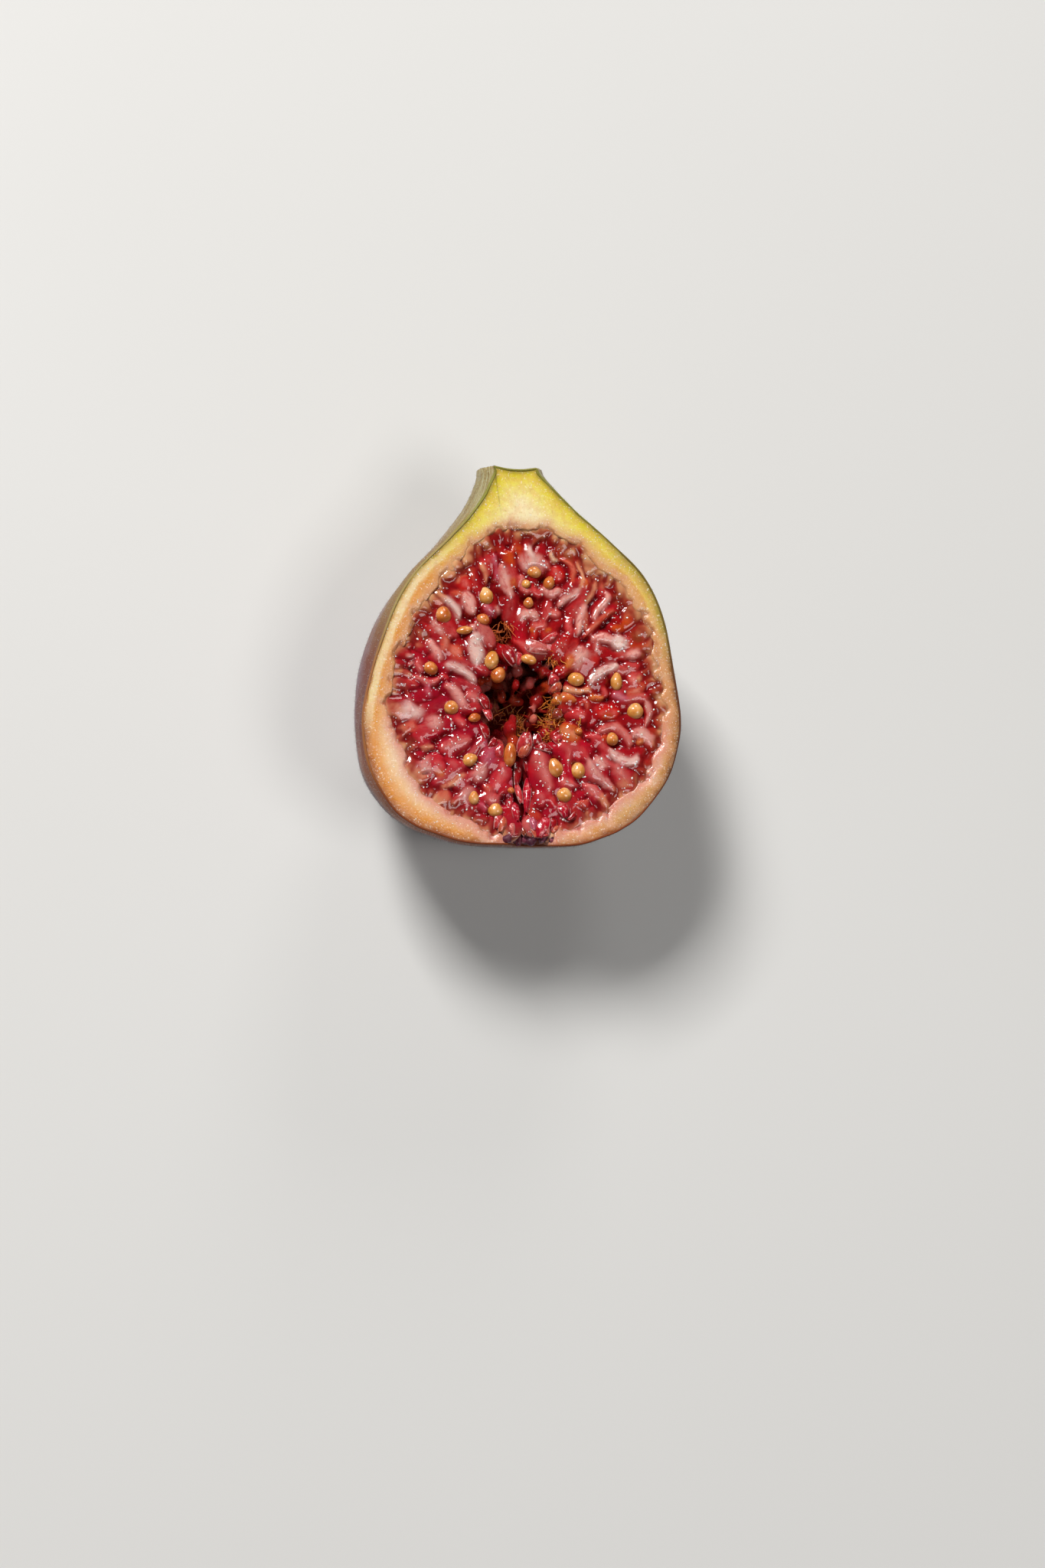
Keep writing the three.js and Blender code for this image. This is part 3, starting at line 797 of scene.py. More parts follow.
def bedMesh():
    # the jelly bed with the hollow in it, closed underneath by a deep cone
    turn = np.linspace(-math.pi, math.pi, pulpShape["around"], endpoint=False)
    flat = bearings(turn, 0.0)
    far = pulpEnd(turn)
    near = reachOf(hollowCurve, turn) + pulpShape["hollowEase"]
    share = np.linspace(0, 1, 84)[:, None]
    reach = far * (1 - share) + near * share
    top = heart + flat * reach[..., None]
    spread = top * [1, 1, 0]
    border = ease(far - reach, 3.2, 1.1)  # full close to the rind
    (broad, broadWidth), (fine, fineWidth) = pulpShape["bedWaves"]
    waves = broad * noiseAt(spread, broadWidth, 11) + fine * noiseAt(spread, fineWidth, 12)
    height = waves * (1 - 0.8 * border) - pulpShape["bedDepth"] + pulpShape["borderLift"] * border
    height = height - gashDepth(top, True)
    height = height - 0.7 * eyeDip(top) * ease(-top[..., 1], 19.4, 21.2)
    top[..., 2] = cutHeight + height
    steep = np.radians(np.linspace(4, 88, 46))[:, None]
    bowl = heart + flat * (near * np.cos(steep) ** pulpShape["wallSteepness"])[..., None]
    bowl[..., 2] = top[-1, :, 2] - fruit["hollowDepth"] * np.sin(steep)
    floor = heart - [0, 0, fruit["hollowDepth"] + 0.6]
    share = np.linspace(0.08, 0.96, 12)[:, None]
    under = heart + flat * (far * share)[..., None]
    under[..., 2] = coneHeight(np.linspace(0.92, 0.04, 12)[:, None])
    apex = heart - [0, 0, pulpShape["seatDepth"] + 1.6]
    return ringMesh("bed", apex, np.concatenate([under, top, bowl]), floor)


def unevened(tree, geometry, lumps, amount):
    # points pushed about by a noise texture's colour
    centred = addNode(tree, "ShaderNodeVectorMath", {0: lumps, 1: (0.5, 0.5, 0.5)}, operation="SUBTRACT")
    shift = addNode(tree, "ShaderNodeVectorMath", {0: centred.outputs[0], "Scale": amount}, operation="SCALE")
    moved = addNode(tree, "GeometryNodeSetPosition", {"Geometry": geometry, "Offset": shift.outputs[0]})
    return moved.outputs[0]


def sweepTree():
    # a round strand along every chain of edges, as thick as its points say
    tree, start = newTree("strands", sides="Int", wobble="Float", wobble_size="Float")
    girth = addNode(tree, "GeometryNodeInputNamedAttribute", {"Name": "girth"}, data_type="FLOAT")
    ring = addNode(tree, "GeometryNodeCurvePrimitiveCircle", {"Resolution": start["Sides"], "Radius": 1.0})
    lines = addNode(tree, "GeometryNodeMeshToCurve", {"Mesh": start["Geometry"]})
    strands = addNode(tree, "GeometryNodeCurveToMesh", {
        "Curve": lines.outputs[0], "Profile Curve": ring.outputs[0],
        "Scale": girth.outputs[0], "Fill Caps": True,
    })
    place = addNode(tree, "GeometryNodeInputPosition")
    scaled = addNode(tree, "ShaderNodeVectorMath", {
        0: place.outputs[0], 1: start["Wobble size"],
    }, operation="DIVIDE")
    lumps = addNode(tree, "ShaderNodeTexNoise", {"Vector": scaled.outputs[0], "Scale": 1.0, "Detail": 1.0})
    uneven = unevened(tree, strands.outputs[0], lumps.outputs[1], start["Wobble"])
    endTree(tree, uneven, start["Material"])
    return tree


def chainMesh(chains):
    # one chain of edges for each list of points, with the strand's radius at every point
    points = np.vstack([line for line, _ in chains])
    girths = np.concatenate([girth for _, girth in chains])
    edges = []
    start = 0
    for line, _ in chains:
        edges += [(start + i, start + i + 1) for i in range(len(line) - 1)]
        start += len(line)
    mesh = bpy.data.meshes.new("chains")
    mesh.from_pydata(points.tolist(), edges, [])
    setValues(mesh, "girth", girths)
    return mesh


def plump(count, blunt):
    # thickness along a floret: a full middle and round ends, blunter as the number grows
    t = np.linspace(-1, 1, count)
    return np.clip(1 - np.abs(t) ** blunt, 0.03, 1) ** 0.5


def shownFlorets():
    # every floret is its path, its thickness along it, its tone and how firm its colour is
    made = []
    for tone, width, *pairs in florets:
        line = pathOf(pairs)
        height = np.full(len(line), cutHeight - pulpShape["bedDepth"])
        girth = width / 2 * pulpShape["fullness"] * plump(len(line), 3.2)
        made.append((np.column_stack([line, height]), girth, tone, 1.0))
    return made


def spotsOf(strokes, share):
    # the places that florets already take, as round spots at a share of their thickness
    return [(*p[:2], r * share) for line, girth, _, _ in strokes for p, r in zip(line[::4], girth[::4])]


def nearestGap(x, y, taken):
    # how far a place lies outside the nearest of the round spots already taken
    spots = np.array(taken)
    return (np.hypot(spots[:, 0] - x, spots[:, 1] - y) - spots[:, 2]).min()


def bentLine(x, y, lean, length, bend, count=11):
    # a short path through a place, bent to one side
    t = np.linspace(-0.5, 0.5, count)
    along, aside = length * t, bend * (t**2 * 2 - 0.2)
    return np.column_stack([
        x + along * math.cos(lean) - aside * math.sin(lean),
        y + along * math.sin(lean) + aside * math.cos(lean),
        np.full(count, cutHeight - pulpShape["bedDepth"]),
    ])


def fillerFlorets(shown):
    # smaller florets in the gaps, lower and redder, pointing at the hollow
    taken = spotsOf(shown, 0.8)
    taken += [(*placeOf(u, v), max(w, h) / 2) for u, v, w, h, _, _ in seeds]
    made = []
    shape = scattered["filler"]
    for _ in range(12000):
        if len(made) == shape["count"]:
            break
        turn = random.uniform(-math.pi, math.pi)
        far = float(reachOf(pulpCurve, turn)) - 0.4
        near = float(reachOf(hollowCurve, turn)) + 0.1
        reach = math.sqrt(random.uniform(near**2, far**2))
        x, y = heart[0] + reach * math.cos(turn), heart[1] + reach * math.sin(turn)
        gap = nearestGap(x, y, taken)
        if gap < shape["smallestGap"]:
            continue
        width = min(shape["widest"], random.uniform(*shape["width"]) + gap * 1.2)
        lean = turn + random.gauss(0, shape["lean"])
        line = bentLine(x, y, lean, width * random.uniform(*shape["slimness"]), random.uniform(-0.5, 0.5))
        tone = random.choice(shape["tones"])
        if far - reach < 1.6:
            tone = random.choice(shape["tonesAtRind"])
        made.append((line, width / 2 * plump(11, 3), tone, random.uniform(*shape["firm"])))
        taken += [(*p[:2], width * 0.3) for p in line[::2]]
    return made


def borderFingers(shown):
    # where the rind frays into the pulp: peach fingers, broad at the rind, and brown glassy pockets
    taken = spotsOf(shown, 0.7)
    made = []
    for i in range(2 * pulpShape["borderFingers"]):
        pocket = i % 2 == 0
        shape = scattered["pocket" if pocket else "finger"]
        turn = (i + random.uniform(-0.35, 0.35)) / pulpShape["borderFingers"] * math.pi
        length = random.uniform(*shape["length"])
        reach = float(reachOf(pulpCurve, turn)) + shape["overlap"] - length / 2
        x, y = heart[0] + reach * math.cos(turn), heart[1] + reach * math.sin(turn)
        if nearestGap(x, y, taken) < 0.05 or (abs(x - eyeX) < 4 and y < -15):
            continue
        lean = turn + math.pi + random.gauss(0, 0.3)
        line = bentLine(x, y, lean, length, random.uniform(-0.5, 0.5))
        tone = random.choice(shape["tones"])
        taper = plump(11, 3) if pocket else np.linspace(1, 0.25, 11)
        floret = (line, random.uniform(*shape["girth"]) * taper, tone, 0.9)
        made.insert(0 if pocket else len(made), floret)
    return made


def deepFlorets():
    # florets that hang into the hollow from its walls; the pulp's material paints them darker with depth, as
    # shade
    made = []
    for tone, width, depth, *pairs in hungFlorets:
        depth = depth * pulpShape["hungShare"]
        line = pathOf(pairs, 8, cutHeight - depth)
        spots = np.column_stack([line, np.full(len(line), cutHeight - depth)])
        made.append((spots, width * 0.65 * plump(len(line), 3), tone, 1.0))
        stalk = np.linspace(spots[len(spots) // 2], heart - [0, 0, fruit["hollowDepth"] + 1.5], 12)
        made.append((stalk, np.full(12, width * 0.22), "dusk", 1.0))
    shape = scattered["deep"]
    for i in range(shape["count"]):
        turn = i * 2.39996  # the golden angle spreads them evenly
        steep = math.radians(8 + 76 * ((i + 0.5) / shape["count"]) ** 0.85)
        near = float(reachOf(hollowCurve, turn)) + pulpShape["hollowEase"]
        out = np.array([math.cos(turn), math.sin(turn), 0])
        base = heart + out * near * math.cos(steep) ** pulpShape["wallSteepness"] * 1.02
        base[2] = cutHeight - 0.6 - fruit["hollowDepth"] * math.sin(steep)
        aim = unit(-out * random.uniform(0.4, 0.9) + [0, 0, random.uniform(-0.2, 0.9)])
        side = np.array([-out[1], out[0], 0]) * random.uniform(-0.9, 0.9)
        length = random.uniform(*shape["length"])
        t = np.linspace(-0.3, 1, 11)[:, None]
        line = base + aim * t * length + side * t**2
        tone = random.choice(shape["tones"])
        made.append((line, random.uniform(*shape["girth"]) * plump(11, 2.0), tone, 0.9))
    return made


def edgeArrays(mesh):
    # the two ends of every edge
    pairs = np.empty(len(mesh.edges) * 2, np.int64)
    mesh.edges.foreach_get("vertices", pairs)
    return pairs.reshape(-1, 2)


def relaxed(points, pairs, rounds):
    # each point drawn halfway to the mean of its neighbours, all but the last, which closes the underside
    count = np.bincount(pairs.ravel(), minlength=len(points))[:, None]
    apex = points[-1].copy()
    for _ in range(rounds):
        total = np.zeros_like(points)
        for axis in range(points.shape[1]):
            total[:, axis] = np.bincount(pairs[:, 0], points[pairs[:, 1], axis], len(points))
            total[:, axis] += np.bincount(pairs[:, 1], points[pairs[:, 0], axis], len(points))
        points = points + 0.5 * (total / np.maximum(count, 1) - points)
        points[-1] = apex
    return points


def vertexNormals(mesh):
    normals = np.empty(len(mesh.vertices) * 3, np.float32)
    mesh.vertex_normals.foreach_get("vector", normals)
    return normals.reshape(-1, 3).astype(float)


def openedTop(mesh):
    # keeps the visible side of the fused pulp and closes it with a plain cone below
    points = meshPoints(mesh)
    corners = np.empty(len(mesh.polygons) * 4, np.int64)
    mesh.polygons.foreach_get("vertices", corners)
    quads = corners.reshape(-1, 4)
    middle = points[quads].mean(1)
    flat = middle[:, :2] - heart[:2]
    far = pulpEnd(np.arctan2(flat[:, 1], flat[:, 0]))
    quads = quads[middle[:, 2] > coneHeight(1 - np.hypot(*flat.T) / far) + 0.45]
    # one connected sheet is kept: labels spread along the faces until they stop changing
    label = np.arange(len(points))
    while True:
        lowest = label[quads].min(1)
        fresh = label.copy()
        np.minimum.at(fresh, quads.ravel(), np.repeat(lowest, 4))
        fresh = fresh[fresh]
        if (fresh == label).all():
            break
        label = fresh
    names, sizes = np.unique(label[quads[:, 0]], return_counts=True)
    quads = quads[label[quads[:, 0]] == names[sizes.argmax()]]
    sides = np.concatenate([quads[:, [n, (n + 1) % 4]] for n in range(4)])
    key = np.sort(sides, axis=1) @ [len(points), 1]
    _, first, uses = np.unique(key, return_index=True, return_counts=True)
    rim = sides[first[uses == 1]]
    apex = len(points)
    points = np.vstack([points, heart - [0, 0, pulpShape["seatDepth"]]])
    used = np.unique(np.append(quads.ravel(), apex))
    renamed = np.zeros(len(points), np.int64)
    renamed[used] = np.arange(len(used))
    cone = np.column_stack([rim[:, 1], rim[:, 0], np.full(len(rim), apex)])
    return plainMesh("pulp", points[used], [*renamed[quads].tolist(), *renamed[cone].tolist()])


def floretCoat(points, strokes, hung):
    # how far the florets lift each point of the bed, how fleshy it is there, its colour, and how
    # close it is to the cleft between two of them
    rise = np.zeros(len(points))
    core = np.zeros(len(points))
    tint = np.tile(hexColour(tones["crimson"][0]), (len(points), 1))
    first = np.full(len(points), 3.0)
    second = np.full(len(points), 3.0)
    (broad, broadWidth), (fine, fineWidth) = floretLook["ragged"]
    ragged = broad * noiseAt(points, broadWidth, 31) + fine * noiseAt(points, fineWidth, 32)
    swing, swingBy = floretLook["wander"]
    wander = np.stack([noiseAt(points, swing, seed) for seed in (33, 34, 35)], -1) * swingBy
    blood = np.array(hexColour(floretLook["blood"]))
    crownHighlight = np.array(hexColour(floretLook["crownHighlight"]))
    for line, girth, tone, firm in strokes:
        wide = girth.max() * 2.0
        near = np.flatnonzero(((points > line.min(0) - wide) & (points < line.max(0) + wide)).all(1))
        if len(near) == 0:
            continue
        spots = points[near] + wander[near]
        gap = (np.linalg.norm(spots[:, None] - line, axis=2) / np.maximum(girth, 0.12)).min(1)
        code, level = tones[tone]
        if hung:
            gap = np.maximum(gap - 0.85, 0) * 1.5
        else:
            stand = cutHeight + level + random.uniform(*floretLook["standing"]) - 0.2 * (1 - firm)
            dome = np.sqrt(1 - np.minimum(gap / floretLook["swell"], 1) ** 2)
            top = np.clip(stand - points[near, 2], 0.05, 1) * dome
            weld = floretLook["weld"] * np.minimum(top / 0.1, 1)
            old = rise[near]
            overlap = np.maximum(weld - np.abs(old - top), 0)
            rise[near] = np.maximum(old, top) + overlap**2 / (4 * weld + 1e-6)
        second[near] = np.minimum(second[near], np.maximum(first[near], gap))
        first[near] = np.minimum(first[near], gap)
        gap = gap + ragged[near]
        cover = firm * (1 - ease(gap, *floretLook["fade"]))
        clear = ease(1.05 - gap, 0, 0.85)[:, None]  # how clear of the jelly's stain
        own = np.array(hexColour(code)) * random.uniform(*floretLook["shades"])
        # painted highlight: raised florets turn paler towards their crowns
        crownLight = floretLook["crownHighlightShare"] * ease(0.5 - gap, 0, 0.5) * (level > 0)
        own = own + (crownHighlight - own) * crownLight[:, None]
        stained = own * (1 - floretLook["stain"]) + blood * floretLook["stain"]
        flesh = stained * (1 - clear) + own * clear
        tint[near] += (flesh - tint[near]) * cover[:, None]
        core[near] += cover * (1 - core[near])
    cleft = (1 - ease(second - first, 0.02, 0.45)) * ease(first, 0.5, 0.9) * (1 - ease(first, 1.7, 2.3))
    return rise, core, tint, cleft


def fusedMesh(meshes):
    # several closed meshes joined and made one skin
    points = []
    faces = []
    start = 0
    for mesh in meshes:
        points.append(meshPoints(mesh))
        faces += [[start + v for v in p.vertices] for p in mesh.polygons]
        start += len(mesh.vertices)
    together = addObject("together", plainMesh("together", np.vstack(points), faces))
    fuse = together.modifiers.new("fuse", "REMESH")
    fuse.mode = "VOXEL"
    fuse.voxel_size = pulpShape["voxel"]
    fused = baked(together)
    bpy.data.objects.remove(together)
    return fused


def carved(points):
    # the florets' tops with a cup for each seed and the narrow cracks cut in, and planed off at the cut
    for u, v, w, h, _, _ in seeds:
        away = np.linalg.norm((points[:, :2] - placeOf(u, v)) / [w / 2, h / 2], axis=1)
        cup = cutHeight - pulpShape["cupRim"] - pulpShape["cupDepth"] * (1 - np.clip(away, 0, 1) ** 2)
        hold = 1 - ease(away, 0.9, 1.35)
        points[:, 2] = np.where(points[:, 2] > cup, points[:, 2] * (1 - hold) + cup * hold, points[:, 2])
    points[:, 2] -= gashDepth(points, False) * (points[:, 2] > cutHeight - 1.5)
    wave, waveWidth = pulpShape["grazeWaves"]
    top = cutHeight + pulpShape["graze"] + wave * noiseAt(points * [1, 1, 0], waveWidth, 23)
    soft = pulpShape["grazeSoftness"]
    points[:, 2] = top - soft * np.logaddexp(0, (top - points[:, 2]) / soft)
    return points


def buildPulp(materials, strandTree):
    # the bed and the hanging florets are fused, then the open florets swell out of the face
    shown = shownFlorets()
    fingers = borderFingers(shown)
    shown = fillerFlorets(shown + fingers) + fingers + shown
    hung = deepFlorets()
    strands = grown(strandTree, chainMesh([(line, girth) for line, girth, _, _ in hung]), {
        "Sides": 10, "Wobble": 0.35, "Wobble size": 0.9, "Material": materials[0],
    })
    mesh = openedTop(fusedMesh([bedMesh(), strands]))
    pairs = edgeArrays(mesh)
    points = relaxed(meshPoints(mesh), pairs, 3)
    putPoints(mesh, points)
    normals = vertexNormals(mesh)
    print(f"pulp fused: {len(shown)} florets on the face and {len(hung)} strands in the hollow")

    # on the face the open florets rule, and down in the hollow the hanging ones
    rise, core, tint, cleft = floretCoat(points, shown, False)
    _, hungCore, hungTint, _ = floretCoat(points, hung, True)
    below = ease(cutHeight - points[:, 2], 1.1, 1.9)[:, None]
    core = core * (1 - below[:, 0]) + hungCore * below[:, 0]
    tint = tint * (1 - below) + hungTint * below
    cleft = cleft * (1 - below[:, 0])
    outward = points[:, :2] - heart[:2]
    fan = np.column_stack([unit(outward) * 13, np.linalg.norm(outward, axis=1) * 0.4, np.ones(len(points))])
    (lumps, lumpWidth), (fibres, fibreWidth) = pulpShape["fuzz"]
    fuzz = lumps * noiseAt(points, lumpWidth, 21) + fibres * noiseAt(fan[:, :3], fibreWidth, 24)
    points = points + normals * (rise - pulpShape["cleftDepth"] * cleft + fuzz)[:, None]
    points = relaxed(carved(points), pairs, 5)
    putPoints(mesh, points)
    normals = vertexNormals(mesh)
    swell = ((points - relaxed(points, pairs, 12)) * normals).sum(1)

    # flesh is see-through, so its colours run into each other
    looks = relaxed(np.column_stack([tint[:, :3], core, cleft]), pairs, pulpShape["softening"])
    setValues(mesh, "tint", np.column_stack([looks[:, :3], np.ones(len(looks))]))
    setValues(mesh, "core", looks[:, 3])
    setValues(mesh, "cleft", looks[:, 4])
    setValues(mesh, "fan", fan)
    setValues(mesh, "swell", np.clip(swell / 0.14, -1, 1))
    setValues(mesh, "fray", frayAt(points))
    facingUp = (normals[:, 2] > 0.35) * (points[:, 2] > cutHeight - 2.5)
    setValues(mesh, "wet", facingUp * (inPulpBy(points) > 0.2))
    return finished("fig_pulp", mesh.copy(), materials), mesh


def seedTree():
    # a seed on every point: an egg with a small beak, turned and sized by its point
    tree, start = newTree("seeds", beak="Float", unevenness="Float")
    ball = addNode(tree, "GeometryNodeMeshIcoSphere", {"Radius": 1.0, "Subdivisions": 4})
    turn = addNode(tree, "GeometryNodeInputNamedAttribute", {"Name": "turn"}, data_type="FLOAT_VECTOR")
    size = addNode(tree, "GeometryNodeInputNamedAttribute", {"Name": "size"}, data_type="FLOAT_VECTOR")
    angle = addNode(tree, "FunctionNodeEulerToRotation", {0: turn.outputs[0]})
    # the beak: points near the +Y end are drawn out and in
    place = addNode(tree, "GeometryNodeInputPosition")
    split = addNode(tree, "ShaderNodeSeparateXYZ", {0: place.outputs[0]})
    tip = eased(tree, split.outputs["Y"], 0.55, 1.0, start["Beak"])
    lengthen = addNode(tree, "ShaderNodeCombineXYZ", {"Y": tip})
    beaked = addNode(tree, "GeometryNodeSetPosition", {
        "Geometry": ball.outputs[0], "Offset": lengthen.outputs[0],
    })
    placed = addNode(tree, "GeometryNodeInstanceOnPoints", {
        "Points": start["Geometry"], "Instance": beaked.outputs[0],
        "Rotation": angle.outputs[0], "Scale": size.outputs[0],
    })
    plain = addNode(tree, "GeometryNodeRealizeInstances", {"Geometry": placed.outputs[0]})
    lumps = addNode(tree, "ShaderNodeTexNoise", {"Scale": 0.9, "Detail": 1.0})
    endTree(tree, unevened(tree, plain.outputs[0], lumps.outputs[1], start["Unevenness"]), start["Material"])
    return tree


seedShape = {
    "beak": 0.16,
    "unevenness": 0.12,
    "standing": 0.32,  # the top of a seed stands this far above the cut
    "tipping": 0.3,  # and it leans by up to this many radians
    "deep": 9,  # more seeds lie in the hollow
    "deepReach": (1.2, 3.4),
    "deepBelow": (5.5, 8.5),
    "deepSize": (0.85, 0.75, 0.7),
}


def buildSeeds(material):
    tipping = seedShape["tipping"]
    rows = []
    for u, v, width, height, turn, orange in seeds:
        across = min(width, height)
        place = (*placeOf(u, v), cutHeight + seedShape["standing"] - across / 2)
        lean = (random.uniform(-tipping, tipping), random.uniform(-tipping, tipping), math.radians(turn))
        rows.append((place, lean, (width / 2, height / 2, across / 2), orange))
    for i in range(seedShape["deep"]):
        turn = 0.5 + i * 2.1
        reach = random.uniform(*seedShape["deepReach"])
        height = cutHeight - random.uniform(*seedShape["deepBelow"])
        place = (heart[0] + reach * math.cos(turn), heart[1] + reach * math.sin(turn), height)
        lean = (random.uniform(-1, 1), random.uniform(-1, 1), turn)
        rows.append((place, lean, seedShape["deepSize"], 1.0))
    places, turns, sizes, ripeness = zip(*rows)
    mesh = bpy.data.meshes.new("seedPoints")
    mesh.from_pydata(places, [], [])
    for name, values in (("turn", turns), ("size", sizes)):
        mesh.attributes.new(name, "FLOAT_VECTOR", "POINT").data.foreach_set("vector", np.ravel(values))
    setValues(mesh, "ripe", ripeness)
    made = grown(seedTree(), mesh, {
        "Beak": seedShape["beak"], "Unevenness": seedShape["unevenness"], "Material": material,
    })
    return finished("fig_seeds", made)


threadShape = {
    "thickness": (0.035, 0.06),
    "scatter": 75,  # degrees either way of a tuft's own direction
    "curl": 0.35,
    "wave": 0.24,
    "tree": {"Sides": 5, "Wobble": 0.12, "Wobble size": 0.5},
}
threadTufts = [
    # place, depth below the cut, spread, count, length, direction in degrees, share of ochre
    (-1.2, 4.3, 0.8, 0.4, 9, 2.0, -80, 0.3), (-0.7, 3.9, 0.8, 0.4, 9, 1.5, -60, 0.5),
    (-2.9, 2.9, 0.6, 0.4, 14, 1.5, -25, 0.3), (-2.8, 2.0, 0.8, 0.4, 12, 1.3, -50, 0.2),
    (-1.6, 2.2, 1.4, 0.8, 18, 1.8, 90, 0.1), (4.4, 0.0, 0.5, 0.7, 26, 1.4, -100, 0.6),
    (4.6, -5.4, 1.4, 1.0, 26, 1.5, 150, 0.8), (5.2, -7.2, 1.2, 0.9, 30, 1.5, 170, 0.9),
    (4.0, -7.9, 2.4, 1.0, 24, 1.4, 120, 0.8), (1.5, -7.5, 4.6, 1.2, 18, 1.6, 90, 0.6),
    (0.7, -6.4, 5.0, 0.8, 10, 1.2, 40, 0.8), (4.4, -9.2, 1.2, 0.7, 16, 1.2, 160, 0.7),
    (2.4, -3.4, 4.6, 1.4, 16, 1.8, 200, 0.3), (-1.6, -6.4, 5.2, 1.4, 14, 1.6, 30, 0.3),
    (5.2, -10.6, 0.3, 0.5, 6, 0.9, 120, 0.8), (7.2, -7.4, -0.1, 0.4, 8, 0.9, 160, 1.0),
    (1.3, -8.4, 3.8, 0.9, 12, 1.4, 70, 0.7),
]


def buildThreads(material, strandTree):
    # each tuft is a brush of fine tapering threads, curled and waved at random
    chains = []
    ochre = []
    for u, v, depth, spread, count, length, heading, share in threadTufts:
        for _ in range(count):
            x, y = placeOf(u, v) + np.array([random.gauss(0, spread * 0.5), random.gauss(0, spread * 0.5)])
            base = np.array([x, y, cutHeight - depth - random.uniform(0, 0.8)])
            turn = math.radians(heading + random.gauss(0, threadShape["scatter"]))
            aim = np.array([math.cos(turn), math.sin(turn), random.uniform(-0.1, 0.7)])
            curl = np.array([random.uniform(-1, 1), random.uniform(-1, 1), random.uniform(-0.6, 0.6)])
            t = np.linspace(0, 1, 9)[:, None]
            wave = np.sin(t * random.uniform(4, 9)) * curl * threadShape["wave"]
            reach = length * random.uniform(0.55, 1.15)
            line = base + reach * (aim * t + curl * threadShape["curl"] * t**2) + wave
            chains.append((line, random.uniform(*threadShape["thickness"]) * (1.15 - t[:, 0] * 0.8)))
            ochre.append(min(1, max(0, random.gauss(share, 0.25))))
    mesh = chainMesh(chains)
    setValues(mesh, "ochre", np.repeat(ochre, 9))
    made = grown(strandTree, mesh, {**threadShape["tree"], "Material": material})
    return finished("fig_threads", made)


juice = {
    "fig_juice": {"Beads per square mm": 1.5, "Smallest": 0.035, "Largest": 0.12, "Clump": 1.6},
    "fig_rind_juice": {"Beads per square mm": 1.0, "Smallest": 0.03, "Largest": 0.07, "Clump": 2.2},
}


def beadTree():
    # beads of juice on the faces, gathered in clumps
    tree, start = newTree(
        "beads", beads_per_square_mm="Float", smallest="Float", largest="Float", clump="Float", seed="Int"
    )
    wet = addNode(tree, "GeometryNodeInputNamedAttribute", {"Name": "wet"}, data_type="FLOAT")
    place = addNode(tree, "GeometryNodeInputPosition")
    scaled = addNode(tree, "ShaderNodeVectorMath", {
        0: place.outputs[0], 1: start["Clump"],
    }, operation="DIVIDE")
    clumps = addNode(tree, "ShaderNodeTexNoise", {"Vector": scaled.outputs[0], "Scale": 1.0, "Detail": 1.0})
    thick = addNode(tree, "ShaderNodeMapRange", {
        "Value": clumps.outputs[0], "From Min": 0.45, "From Max": 0.6, "To Min": 0.15, "To Max": 2.0,
    })
    often = addNode(tree, "ShaderNodeMath", {
        0: thick.outputs[0], 1: start["Beads per square mm"],
    }, operation="MULTIPLY")
    density = addNode(tree, "ShaderNodeMath", {0: often.outputs[0], 1: wet.outputs[0]}, operation="MULTIPLY")
    spots = addNode(tree, "GeometryNodeDistributePointsOnFaces", {
        "Mesh": start["Geometry"], "Density": density.outputs[0], "Seed": start["Seed"],
    })
    even = addNode(tree, "FunctionNodeRandomValue", {2: 0.0, 3: 1.0, "Seed": 3}, data_type="FLOAT")
    skew = addNode(tree, "ShaderNodeMath", {0: even.outputs[1], 1: 3.0}, operation="POWER")
    size = addNode(tree, "ShaderNodeMapRange", {
        "Value": skew.outputs[0], "To Min": start["Smallest"], "To Max": start["Largest"],
    })
    bead = addNode(tree, "GeometryNodeMeshUVSphere", {"Segments": 8, "Rings": 5, "Radius": 1.0})
    flatter = addNode(tree, "ShaderNodeVectorMath", {
        0: size.outputs[0], 1: (1.0, 1.5, 0.45),
    }, operation="MULTIPLY")
    beads = addNode(tree, "GeometryNodeInstanceOnPoints", {
        "Points": spots.outputs["Points"], "Instance": bead.outputs[0],
        "Rotation": spots.outputs["Rotation"], "Scale": flatter.outputs[0],
    })
    endTree(tree, beads.outputs[0], start["Material"])
    return tree


def buildJuice(name, wetFaces, tree, material):
    # beads over the wet faces of a piece that is already built
    made = grown(tree, wetFaces, {**juice[name], "Seed": 8, "Material": material})
    return finished(name, made)


